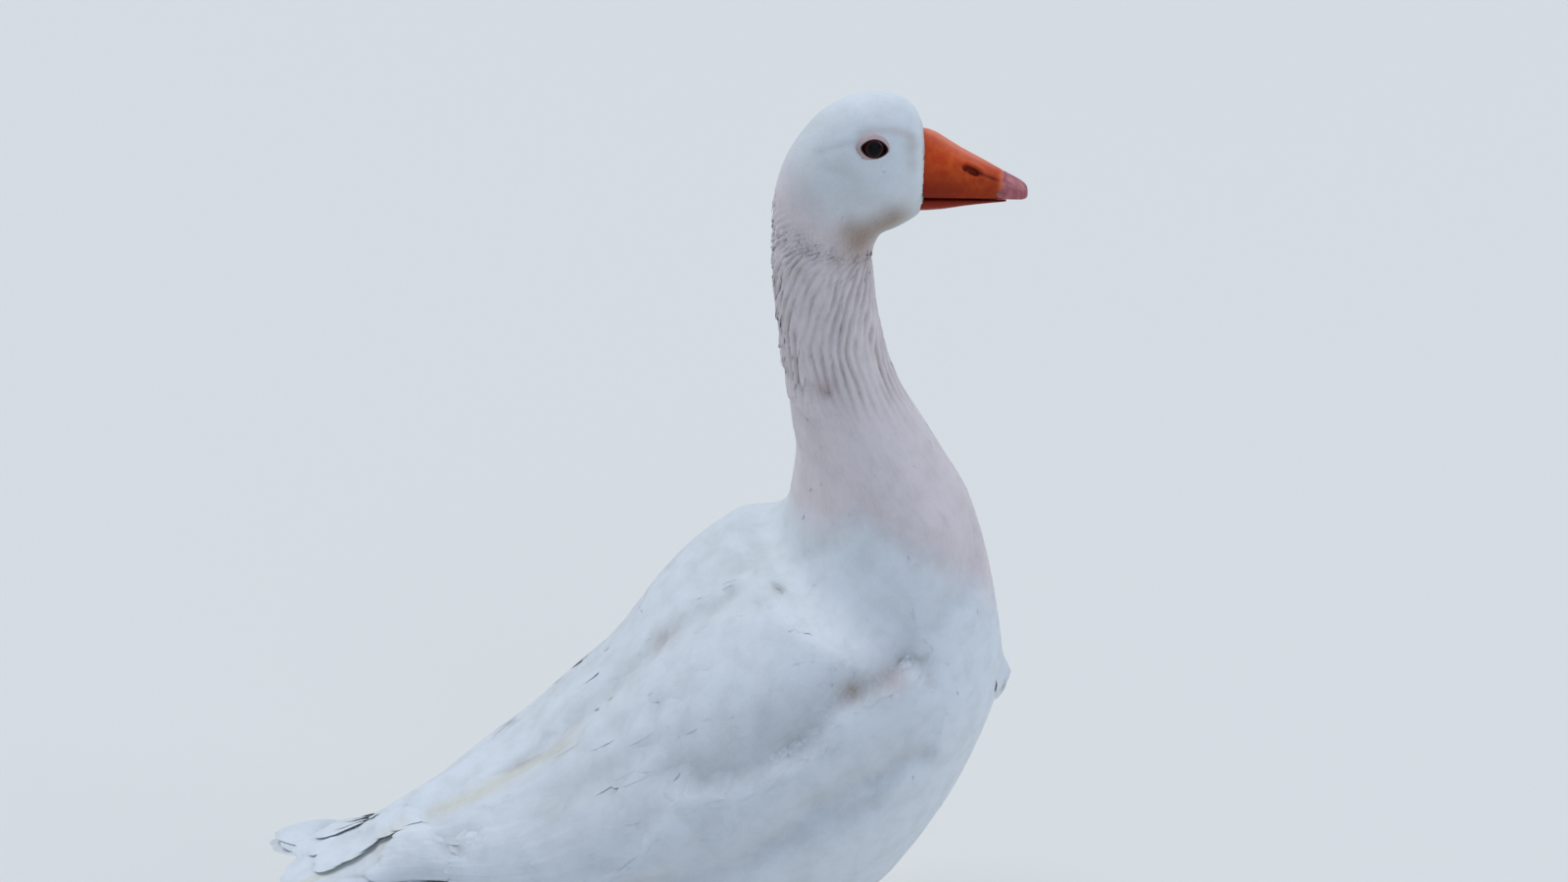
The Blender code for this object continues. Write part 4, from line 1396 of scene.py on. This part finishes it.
def wing_row(vanes, chart, span, flight, sign, crossing, rng):
    """One row of one wing. sign is 1 on the left, and crossing how far the row crosses the back."""
    count = flight.count
    roots = evenly(flight.root_from, flight.root_to, count)
    tips = evenly(flight.tip_from, flight.tip_to, count)
    tips[:, 1] -= crossing * np.linspace(1, 0, count)
    roots[:, 1] -= 0.3 * crossing * np.linspace(1, 0, count)
    shift = rng.normal(0, 0.06, count)
    tips[:, 0] += shift
    roots[:, 0] += shift
    tips[:, 1] += rng.normal(0, 0.012, count)
    for ends in (roots, tips):
        ends[:, 1] = sign * span.degrees(*ends.T)
    camber, roll, thick, tip, soft = BUILD[flight.kind]
    lines = vanes.lead(chart, roots, tips, rng.normal(0, 0.5, count))
    width = flight.width * MM * rng.uniform(0.94, 1.06, count)
    base = (np.linspace(*flight.base, count) + WING_BASE[sign]) * MM
    rise = flight.rise * MM * rng.uniform(0.8, 1.2, count)
    tint = rng.uniform(0.98, 1.01, count)
    vanes.cover(
        chart, *lines, width, flight.depth * MM, camber, base=base, rise=rise, curl=0.8 * MM,
        roll=-sign * roll, flat=2.4, thick=thick, tip=tip, tint=tint, soft=soft,
    )


def wing_feathers(chart, zone, rng):
    """Coverts, tertials, secondaries and primaries of both folded wings."""
    span = WingSpan(chart, zone)
    batches = {kind: Vanes(kind) for kind in BUILD}
    for sign in SIDES.values():
        for number, flight in enumerate(FLIGHTS):
            crossing = CROSSING if number == TERTIALS and sign < 0 else 0.0
            wing_row(batches[flight.kind], chart, span, flight, sign, crossing, rng)
    return batches["large"], batches["middle"]


class TailFan:
    """The spread tail as an upper and a lower sheet, drawn on in line behind the charted rows."""

    def __init__(self, chart):
        rows = chart.row(np.array(TAIL_LINE))
        self.lines = []
        for degrees in (0, 180):
            line = chart.read(chart.points, rows, chart.column(np.full(len(rows), float(degrees))))
            reach = (line[0, 0] - CAD_LOW.x + TAIL_POINTS) / (line[1, 0] - line[0, 0])
            self.lines.append(np.vstack([line[:1] + (line[0] - line[1]) * reach, line])[:, [0, 2]])
        self.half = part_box("tail")[1].y
        self.start = chart.read(chart.points, chart.row(TAIL_ROOT), chart.column(0.0))[0]

    def height(self, x, y, lower):
        """How high the upper or the lower sheet lies over each point of the plan."""
        upper, under = (np.interp(x, *line.T) for line in self.lines)
        middle = (upper + under) / 2
        thickness = np.maximum((upper - under) / 2 - 1.5 * MM, 0.8 * MM)
        arch = 1 - np.clip(np.abs(y) / self.half, 0, 1.05) ** 2.5
        return middle + thickness * arch * (-1 if lower else 1)

    def upward(self, x, y, lower):
        """The sheet's normal at each point of the plan."""
        ahead = self.height(x + MM, y, lower) - self.height(x - MM, y, lower)
        aside = self.height(x, y + MM, lower) - self.height(x, y - MM, lower)
        return unit(np.stack([-ahead, -aside, np.full_like(x, 2 * MM)], -1))

    def spread(self, vanes, chart, fan, tips, width, sunk, lower):
        """Feathers side by side, the middle one outermost. tips is where they end along the body."""
        count = len(fan)
        share = vanes.shares[None]
        x = self.start + (tips[:, None] - self.start) * share
        y = fan[:, None] * self.half * (FAN_ROOT + FAN_SPREAD * share)
        way = unit(np.stack([np.gradient(x, axis=1), np.gradient(y, axis=1)], -1))
        reach = width / 2 * outline(share, 0.5) * np.ones((count, 1))
        turned = -1 if lower else 1
        points = np.empty((count, len(vanes.shares), len(vanes.section), 3))
        smooth = np.empty_like(points)
        for j, (side, level) in enumerate(vanes.section):
            px = x - turned * way[..., 1] * side * reach
            py = y + turned * way[..., 0] * side * reach
            sink = sunk + 2.4 * MM * np.abs(fan[:, None]) + 0.6 * MM * side * side
            sink = sink + 3 * MM * (1 - share) ** 2 - 0.2 * MM * (1 - 0.6 * share) * level
            points[:, :, j] = np.stack([px, py, self.height(px, py, lower) - turned * sink], -1)
            smooth[:, :, j] = turned * self.upward(px, py, lower)
        row = np.full(count, chart.row(TAIL_ROOT))
        column = chart.column((180 if lower else 0) + FAN_DEGREES * fan)
        colour = np.broadcast_to(chart.read(chart.colours, row, column)[:, None, None], points.shape)
        roots = chart.unwrap(chart.shares(row, column))
        half, length = np.full(count, width / 2), np.abs(tips - self.start)
        vanes.add(points, colour, half, length, roots, smooth, TAIL_SOFTNESS)


def tail_feathers(chart, rng):
    """The fan of the tail over a second and a lower row. Its end has two points and a notch in each half."""
    vanes = Vanes("large")
    sheet = TailFan(chart)
    for count, shorter, width, sunk, lower in TAIL_ROWS:
        fan = np.linspace(-1, 1, count)
        notch = bell(np.abs(fan) - TAIL_NOTCH, NOTCH_WIDTH)
        point = 0.1 + 0.8 * smoothstep(np.abs(fan), 0.6, 0.95)
        tips = CAD_LOW.x - TAIL_POINTS * point + (NOTCH_DEPTH * notch + shorter) * MM
        sheet.spread(vanes, chart, fan, tips + rng.normal(0, 0.5 * MM, count), width * MM, sunk * MM, lower)
    return vanes


# --- Thighs ---------------------------------------------------------------------------------------

THIGH_HEM = 10 * MM  # how far the feathers of a thigh hang below its solid
THIGH_TOP = 12 * MM  # how far their roots go up into the body
THIGH_ROWS, THIGH_COLUMNS = 48, 72
THIGH_BANDS = {"left": (0.87, 0.06), "right": (0.935, 0.06)}  # start and share on the skin's unwrap
UNDER_TRUNK = 6 * MM  # from that far below the trunk upward, a thigh's chart doesn't narrow again
THIGH_SPACING = 6.5 * MM  # from root to root round the thigh


def thigh_chart(side):
    """A chart of one thigh along an upright line, open below so that feathers may hang over it."""
    node = f"thigh_{side}"
    low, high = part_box(node)
    tree = surface_tree(merged_copy("spare_thigh", [node]))
    heights = np.linspace(low.z - THIGH_HEM, high.z + THIGH_TOP, THIGH_ROWS)
    share = smoothstep(heights, low.z, high.z)
    shank, top = sum(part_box(f"shank_{side}"), Vector()) / 2, (low + high) / 2
    across = [shank[i] + (top[i] - shank[i]) * share for i in (0, 1)]
    middles = np.stack([*across, heights], 1)
    ups, sides = np.tile([1.0, 0, 0], (THIGH_ROWS, 1)), np.tile([0, 1.0, 0], (THIGH_ROWS, 1))
    distances, directions = ray_chart(tree, middles, ups, sides, THIGH_COLUMNS, fitted=False)
    inside = np.searchsorted(heights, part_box("trunk")[0].z - UNDER_TRUNK)
    distances[inside:] = np.maximum.accumulate(distances[inside:], axis=0)
    hem = 1 - 0.12 * smoothstep(low.z + 4 * MM - heights, 0, THIGH_HEM)
    distances = evenly_blurred(distances, 6, 5) * hem[:, None]
    return Chart(middles[:, None] + directions * distances[..., None], band=THIGH_BANDS[side])


def thigh_feathers(chart, rng):
    """Even rows of feathers round a thigh, every second row shifted by half a feather."""
    vanes = Vanes("middle")
    girth = np.linalg.norm(np.diff(chart.points, axis=1), axis=-1).sum(1)
    row, column = [], []
    for number, at in enumerate(np.arange(4, chart.rows - 2, 2.4)):
        count = int(girth[int(at)] / THIGH_SPACING)
        offset = 0.5 * (number % 2)
        column.append((np.arange(count) + offset) * chart.columns / count + rng.normal(0, 0.25, count))
        row.append(at + rng.normal(0, 0.5, count))
    row, column = np.concatenate(row), np.concatenate(column)
    length, heading = rng.uniform(0.024, 0.030, len(row)), rng.normal(0, 0.06, len(row))
    lines = vanes.trail(chart, row, column, length, heading)
    vanes.cover(chart, *lines, 15 * MM, 3 * MM, 0.4 * MM, rise=0.3 * MM, flat=3.2, curl=0.6 * MM, tip=0.5)
    return vanes


# --- Skin -----------------------------------------------------------------------------------------

# The thin rear ends of the tail and the wings hold feathers only: the skin keeps what lies in front of
# these shares of their length.
SKIN_FROM = {"tail": 0.55, "wing_left": 0.5, "wing_right": 0.5}
UNDER_COAT = 1.04  # depth of the skin as a share of the depth of the feathers' roots
THIGH_TOP_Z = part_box("thigh_left")[1].z
ON_THIGH_Z = THIGH_TOP_Z - 30 * MM  # the skin below this height is that of the thighs
THIGH_DEPTH = 3 * MM
SOCKET_DEPTH, SOCKET_RIM = 3.5 * MM, 3 * MM  # of the skin at an eye
JOINT_DEPTH, JOINT_UNDER, JOINT_SPREAD = 3.5 * MM, 12 * MM, 22 * MM  # where a thigh meets the belly
AGREEING = 0.35  # cosine under which a normal is too far off the chart's to be followed


def skin_depth(chart, points, row, column, on_thigh):
    """How far each point of the skin moves inward: under the feathers' roots, folds and eyes."""
    folded = np.minimum(chart.read(chart.relief[..., None], row, column)[:, 0], 0)
    for side in SIDES:
        centre, radius, _ = eye_frame(side)
        socket = 1 - smoothstep(np.linalg.norm(points - centre, axis=1), radius, radius + SOCKET_RIM)
        folded = folded - SOCKET_DEPTH * socket
    joint = bell(points[:, 2] - THIGH_TOP_Z + JOINT_UNDER, JOINT_SPREAD) * near_thigh(points)
    depth = np.where(on_thigh, THIGH_DEPTH, coat_at(chart, row, "depth") * UNDER_COAT - folded)
    return depth + JOINT_DEPTH * joint


def near_thigh(points):
    """From 0 to 1, how near each point lies to the upright line through a thigh."""
    nearness = np.zeros(len(points))
    for node in THIGHS:
        low, high = (np.array(corner)[:2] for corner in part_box(node))
        away = np.linalg.norm((points[:, :2] - (low + high) / 2) / (high - low), axis=1)
        nearness = np.maximum(nearness, 1 - smoothstep(away, 0.55, 0.75))
    return nearness


def unbroken(share, first, sizes):
    """Corner shares where no face runs back over the seam of the chart."""
    start = np.repeat(share[first, 1], sizes)
    share[:, 1] += np.where(share[:, 1] - start > 0.5, -1, 0) + np.where(share[:, 1] - start < -0.5, 1, 0)
    return share


def skin_unwrap(mesh, points, share, chart, thighs, on_thigh):
    """The unwrap of the skin's corners: most by the body's chart, the thighs by their own."""
    corners = corner_vertices(mesh)
    first, sizes = (read_all(mesh.polygons, key, 1, np.int32).ravel() for key in ("loop_start", "loop_total"))
    flat = chart.unwrap(unbroken(share[corners], first, sizes))
    for side, sign in SIDES.items():
        thigh, share = thighs[side], np.zeros((len(points), 2))
        own = on_thigh & (points[:, 1] * sign > 0)
        share[own] = thigh.shares(*thigh.spots(points[own]))
        whole = np.repeat(np.minimum.reduceat(own[corners], first), sizes)
        flat[whole] = thigh.unwrap(unbroken(share[corners], first, sizes))[whole]
    return flat


def build_skin(chart, thighs, material):
    """One closed skin under the whole coat, as deep as the feathers' roots."""
    boxes = {node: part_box(node) for node in SKIN_FROM}
    keep = {node: low.x + SKIN_FROM[node] * (high.x - low.x) for node, (low, high) in boxes.items()}
    skin = remeshed(merged_copy("goose_skin", FLESH + THIGHS + EYES, keep), 2.8 * MM, 8)
    mesh = skin.data
    points = coordinates(mesh)
    row, column = chart.spots(points)
    on_thigh = points[:, 2] < ON_THIGH_Z
    inward, own = -unit(chart.read(chart.normals, row, column)), -normals_of(mesh)
    wrong = (dot(own, inward) < AGREEING) & ~on_thigh[:, None]
    depth = skin_depth(chart, points, row, column, on_thigh)
    set_points(mesh, points + np.where(wrong, inward, own) * depth[:, None])
    mesh.shade_smooth()
    paint(mesh, chart.read(chart.colours, row, column))
    set_uv(mesh, "OFBake", skin_unwrap(mesh, points, chart.shares(row, column), chart, thighs, on_thigh))
    finished(skin, material, FLESH + THIGHS)


# --- Bill -----------------------------------------------------------------------------------------

# The head's own directions, and the lines of the bill's base along FORWARD and of its top and mouth
FORWARD = np.array([math.cos(HEAD_TURN), math.sin(HEAD_TURN), 0])
LEFT = np.array([-math.sin(HEAD_TURN), math.cos(HEAD_TURN), 0])
UP = np.array([0, 0, 1.0])
BILL_BASE = min(np.array(v.co) @ FORWARD for v in frame["nodes"]["bill_upper"].data.vertices)
MOUTH, BILL_TOP = (corner.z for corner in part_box("bill_upper"))
BILL_TUCK, TUCK_FROM = 5 * MM, 2.5 * MM  # how far the base runs on under the feathers, and from where
NOSTRIL_AHEAD, NOSTRIL_UNDER = 30 * MM, 26 * MM  # from the base and the top of the bill
NOSTRIL_LONG, NOSTRIL_TALL, NOSTRIL_DEEP = 5.4 * MM, 2.4 * MM, 3.0 * MM
NOSTRIL_SLANT = 0.385
LIP_HEIGHT, GROOVE_HEIGHT = 1.6 * MM, 4.4 * MM  # over the mouth
RIDGE_WIDTH, RIDGE_HEIGHT = 5 * MM, 1.1 * MM  # of the culmen
COMB = 2.1 * MM  # from one ridge of the comb along the mouth to the next
NAIL_LINES = 1.7 * MM


def comb(ahead):
    return 0.5 + 0.5 * np.cos(ahead * 2 * math.pi / COMB)


def upper_bill(place):
    """Relief and tones of the upper bill: nostrils, lip with its comb, groove and culmen. The first tone is
    painted shade low down, along the mouth and in the nostrils; the third is a painted highlight along
    the culmen that turns into paler horn toward the nail.
    """
    ahead, side, height = place[:, 0] - BILL_BASE, place[:, 1], place[:, 2]
    u = (ahead - NOSTRIL_AHEAD) / NOSTRIL_LONG
    w = (height - (BILL_TOP - NOSTRIL_UNDER) + NOSTRIL_SLANT * (ahead - NOSTRIL_AHEAD)) / NOSTRIL_TALL
    ring = np.sqrt(u**2 + w**2)
    hole = np.exp(-(ring**4))
    above = (height - MOUTH) / (BILL_TOP - MOUTH)
    ridge = bell(side - side.mean(), RIDGE_WIDTH) * smoothstep(above, 0.25, 0.6)
    lip = bell(height - MOUTH - LIP_HEIGHT, 1.1 * MM)
    relief = -NOSTRIL_DEEP * hole + 0.45 * MM * bell(ring - 1.55, 0.4)
    relief += lip * (0.25 - 0.16 * comb(ahead) * smoothstep(ahead, 4 * MM, 12 * MM)) * MM
    relief -= 0.5 * MM * bell(height - MOUTH - GROOVE_HEIGHT, 1.3 * MM)
    relief += RIDGE_HEIGHT * ridge * smoothstep(ahead, 0, 8 * MM)
    nearness = 1 - smoothstep(ahead, 0, 34 * MM)
    mouth = 1 - smoothstep(height, MOUTH + 1.6 * MM, MOUTH + 3.6 * MM)
    tip = smoothstep(ahead, 46 * MM, 56 * MM) * (1 - 0.6 * mouth)
    track = bell(w, 0.45) * stretch(u, (0.2, 1.0), (2.6, 4.0))
    # Painted shade low down, more so near the base, along the mouth and in the nostrils; it also draws the
    # nostril's dark track.
    low = np.maximum(mouth, (1 - smoothstep(above, 0.1, 0.7)) * (0.55 + 0.45 * nearness))
    low = np.clip(low * (1 - tip) + 1.5 * hole + 0.5 * track, 0, 1.1)
    return relief, np.stack([low, nearness * (1 - ridge) + hole, np.maximum(ridge, tip) * (1 - hole)], 1)


def lower_bill(place):
    """Relief and tones of the lower bill, with its own comb along the mouth. Its first tone is painted
    shade over all of it, deepest at the mouth.
    """
    ahead = place[:, 0] - BILL_BASE
    edge = smoothstep(place[:, 2], MOUTH - 4 * MM, MOUTH)
    tones = np.stack([0.8 + 0.2 * edge, np.full(len(ahead), 0.75), 0 * ahead], 1)
    return -0.12 * MM * comb(ahead) * edge, tones


def bill_nail(place):
    """Fine lines along the nail, and a slight swelling where it grows out of the bill."""
    lines = np.sin(place[:, 1] * 2 * math.pi / NAIL_LINES)
    swell = 0.35 * MM * (1 - smoothstep(place[:, 0] - place[:, 0].min(), 0, 3 * MM))
    return 0.05 * MM * lines + swell, np.ones((len(place), 3))


def moved_along_normals(mesh, heights):
    set_points(mesh, coordinates(mesh) + normals_of(mesh) * heights[:, None])


def build_horn(name, node, voxel, smoothing, material, shape, base=None):
    """One piece of the bill: a smooth copy of its solid with relief and tones, its base drawn back."""
    obj = remeshed(merged_copy(name, [node]), voxel, smoothing)
    mesh = obj.data
    heights, tones = shape(coordinates(mesh) @ np.stack([FORWARD, LEFT, UP]).T)
    moved_along_normals(mesh, heights)
    paint(mesh, tones, "Tone")
    mesh.shade_smooth()
    points = coordinates(mesh)
    ahead = points @ FORWARD
    ahead = ahead - (ahead.min() if base is None else base)
    set_points(mesh, points - FORWARD * (BILL_TUCK * (1 - smoothstep(ahead, 0, TUCK_FROM)))[:, None])
    finished(obj, material, [node])


def build_bill():
    horn = bill_material()
    dark, pale = rgb(144, 62, 70), rgb(182, 100, 102)
    nail_horn = streaked_material("bill_nail_horn", dark, pale, 260, 0.35, (1, 1, 0.4))
    build_horn("bill_upper_horn", "bill_upper", 0.6 * MM, 8, horn, upper_bill, BILL_BASE)
    build_horn("bill_lower_horn", "bill_lower", 0.6 * MM, 4, horn, lower_bill, BILL_BASE)
    build_horn("bill_nail_cap", "bill_nail", 0.5 * MM, 6, nail_horn, bill_nail)


# --- Eyes -----------------------------------------------------------------------------------------

LID_OPEN = (7.9 * MM, 5.1 * MM)  # half length and half height of the opening between the lids
LID_CLEAR = (8.8 * MM, 6.0 * MM)  # the oval that the feathers leave free
LID_TILT = math.radians(8)  # the rear corner of the eye lies higher
LID_SIDES = 96
# The lid's section from the eye outward and back underneath, in mm: distance from the opening's edge,
# and height over the eyeball or the head's surface.
LID_SECTION = [
    *[(-0.5, -0.5), (0.0, -0.2), (0.0, 0.12), (0.2, 0.25), (0.5, 0.25), (0.9, 0.1)],
    *[(1.4, -0.4), (2.2, -1.0), (3.4, -1.8), (3.4, -3.0), (2.0, -2.8)],
]
LID_EDGE = 2.2 * MM  # how far from the opening the dark margin has turned into paler skin
LID_SUNK = 0.5 * MM
CORNEA = 0.35 * MM


def eye_frame(side):
    """Centre and radius of an eye, with its axes as rows: forward, up and outward."""
    low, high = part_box(f"eye_{side}")
    centre = np.array((low + high) / 2)
    radius = (high.z - low.z) / 2
    out = unit(LEFT * SIDES[side] + 0.16 * FORWARD + 0.10 * UP)
    ahead = unit(FORWARD - out * (FORWARD @ out))
    ahead = unit(ahead - math.tan(LID_TILT) * UP)
    ahead = unit(ahead - out * (ahead @ out))
    above = np.cross(out, ahead) if side == "left" else np.cross(ahead, out)
    return centre, radius, np.stack([ahead, above, out])


def build_eye(side, material):
    """The eyeball with its cornea. Its Ring attribute runs from the pupil's middle backwards."""
    centre, radius, axes = eye_frame(side)
    bm = bmesh.new()
    bmesh.ops.create_uvsphere(bm, u_segments=64, v_segments=40, radius=1.0)
    mesh = bpy.data.meshes.new(f"eyeball_{side}")
    bm.to_mesh(mesh)
    bm.free()
    ball = coordinates(mesh)
    ring = np.arccos(np.clip(ball[:, 2], -1, 1)) / (math.pi / 2)
    bulge = 1 - smoothstep(ring, 0.25, 0.62)
    if side == "right":
        mesh.flip_normals()
    set_points(mesh, centre + (ball * (radius + CORNEA * bulge)[:, None]) @ axes)
    set_values(mesh, "Ring", ring)
    mesh.shade_smooth()
    finished(linked(mesh.name, mesh), material, [f"eye_{side}"])


def build_lids(side, surface, material):
    """A closed almond ring of bare skin between the eyeball and the feathers round it.

    surface is how far the head's surface lies from the eye's centre, along the eye's axis.
    """
    centre, radius, axes = eye_frame(side)
    angle = np.arange(LID_SIDES) * 2 * math.pi / LID_SIDES
    offsets, lifts = np.transpose(LID_SECTION) * MM
    rings = []
    for offset, lift in zip(offsets, lifts):
        crease = 0.07 * MM * np.cos(angle * 37 + offset * 900)
        x = (LID_OPEN[0] + offset) * np.cos(angle)
        y = (LID_OPEN[1] + offset) * np.sin(angle) * (1 - 0.22 * np.cos(angle) ** 2)
        ball = np.sqrt(np.maximum(radius**2 - np.hypot(x, y) ** 2, 0))
        height = (ball if offset < 0 else np.maximum(ball, surface - LID_SUNK)) + lift + crease
        rings.append(centre + np.stack([x, y, height], 1) @ axes)
    faces = []
    for i in range(len(rings)):
        here, there = i * LID_SIDES, (i + 1) % len(rings) * LID_SIDES
        for k in range(LID_SIDES):
            n = (k + 1) % LID_SIDES
            corners = (here + k, here + n, there + n, there + k)
            faces.append(corners if side == "right" else corners[:1] + corners[:0:-1])
    obj = mesh_object(f"eyelids_{side}", np.concatenate(rings), faces)
    set_values(obj.data, "Outward", np.repeat(np.clip(offsets / LID_EDGE, 0, 1), LID_SIDES))
    obj.data.shade_smooth()
    finished(obj, material)


def build_eyes(chart):
    ball, lids = eye_material(), lid_material()
    for side in SIDES:
        centre, _, axes = eye_frame(side)
        row, column = chart.spots([centre])
        surface = float((chart.read(chart.points, row, column)[0] - centre) @ axes[2])
        build_eye(side, ball)
        build_lids(side, surface, lids)


# --- Legs and claws -------------------------------------------------------------------------------

CUTICLE = 3.0 * MM  # how far the skin of a toe grows over the base of its claw
CLAW_RIM = 0.4 * MM
SCALE_SEEDS = 9000  # points among which the small scales' middles are chosen
SCALE, TOE_SCALE = 0.0032, 0.0026  # from one scale to the next
TOES_UNDER = 0.02  # height under which scales are as small as on the toes
SCALE_RIM = 0.9 * MM
SCUTE, TOE_SCUTE = 4.6 * MM, 3.8 * MM  # length of a broad scute in front of the shank and on the toes
SCALE_DEPTH = 0.38 * MM


def small_scales(points, rng):
    """From 0 on the lines between small scales to 1 inside them."""
    picked = points[rng.permutation(len(points))[:SCALE_SEEDS]]
    seeds = picked[thinned(picked, np.where(picked[:, 2] < TOES_UNDER, TOE_SCALE, SCALE))]
    tree = search_tree(seeds)
    nearest = [tree.find_n(point, 2) for point in points]
    gap = np.array([second[2] - first[2] for first, second in nearest])
    return smoothstep(gap, 0, SCALE_RIM)


def scutes(distance, length):
    """From 0 on the lines between broad scutes to 1 inside them."""
    return 1 - np.abs(((distance / length) % 1.0) * 2 - 1) ** 6


def build_leg(side, material, rng):
    """Shank and foot under one scaly skin: broad scutes in front, small scales elsewhere."""
    nodes = [f"shank_{side}", f"foot_{side}"]
    obj = remeshed(merged_copy(f"leg_{side}", nodes), 1.2 * MM, 3)
    mesh = obj.data
    points = grown_to_claws(coordinates(mesh), side)
    set_points(mesh, points)
    normals, height = normals_of(mesh), points[:, 2]
    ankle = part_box(f"foot_{side}")[1].z
    hub = np.array(sum(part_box(f"shank_{side}"), Vector()) / 2)[:2]
    front = smoothstep(normals[:, 0], 0.25, 0.55) * smoothstep(height, ankle, ankle + 6 * MM)
    toe = smoothstep(height, 6 * MM, 9 * MM) * (height < ankle) * smoothstep(normals[:, 2], 0.5, 0.8)
    relief = small_scales(points, rng) * (1 - front) * (1 - toe) + scutes(height, SCUTE) * front
    relief = relief + scutes(np.linalg.norm(points[:, :2] - hub, axis=1), TOE_SCUTE) * toe
    sole = smoothstep(height, 1.5 * MM, 3 * MM)
    moved_along_normals(mesh, SCALE_DEPTH * (relief - 1) * sole)
    mesh.shade_smooth()
    finished(obj, material, nodes)


def grown_to_claws(points, side):
    """The toes' ends drawn forward, so that their skin closes round the claws."""
    for name in frame["nodes"]:
        if name.startswith(f"claw_{side}"):
            low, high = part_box(name)
            way = np.array((low + high) / 2) - points
            far = np.linalg.norm(way, axis=1, keepdims=True)
            points = points + way / far * CUTICLE * (1 - smoothstep(far, 6 * MM, 11 * MM))
    return points


def finish_claws():
    """The claws keep their solids, rounded off, with a streaked horn."""
    horn = streaked_material("claw_horn", rgb(92, 72, 58), rgb(170, 146, 118), 420, 0.4, (1, 1, 3))
    for name, node in frame["nodes"].items():
        if not name.startswith("claw_"):
            continue
        node.modifiers.new("Weld", "WELD").merge_threshold = WELD
        rim = node.modifiers.new("Rim", "BEVEL")
        rim.width = CLAW_RIM
        rim.limit_method = "ANGLE"
        rim.angle_limit = math.radians(50)
        rounded = node.modifiers.new("Round", "SUBSURF")
        rounded.levels = rounded.render_levels = 2
        node.data.materials.clear()
        node.data.materials.append(horn)


# --- Building everything --------------------------------------------------------------------------


def build_coat(chart, thighs, wing, rng):
    feathers = feather_material()
    small, middle, under = body_coat(chart, wing, rng)
    tuft = breast_tuft(chart, rng)
    quills, coverts = wing_feathers(chart, wing, rng)
    batches = {"coat_fine": small, "coat_body": middle, "coat_under": under, "coat_tuft": tuft}
    batches |= {"wing_coverts": coverts, "wing_quills": quills, "tail_quills": tail_feathers(chart, rng)}
    for side, thigh in thighs.items():
        batches[f"coat_thigh_{side}"] = thigh_feathers(thigh, rng)
    for name, vanes in batches.items():
        coat_pieces(name, vanes, feathers)


def main():
    rng = np.random.default_rng(SEED)
    add_camera()
    add_world()
    add_suns()
    add_floor(floor_material())
    chart = body_chart()
    wing = wing_zone(chart)
    add_relief(chart, rng)
    chart.colours = markings_and_shade(chart)
    thighs = {side: thigh_chart(side) for side in SIDES}
    build_skin(chart, thighs, skin_material())
    build_coat(chart, thighs, wing, rng)
    build_bill()
    build_eyes(chart)
    legs = leg_material()
    for side in SIDES:
        build_leg(side, legs, rng)
    finish_claws()


main()
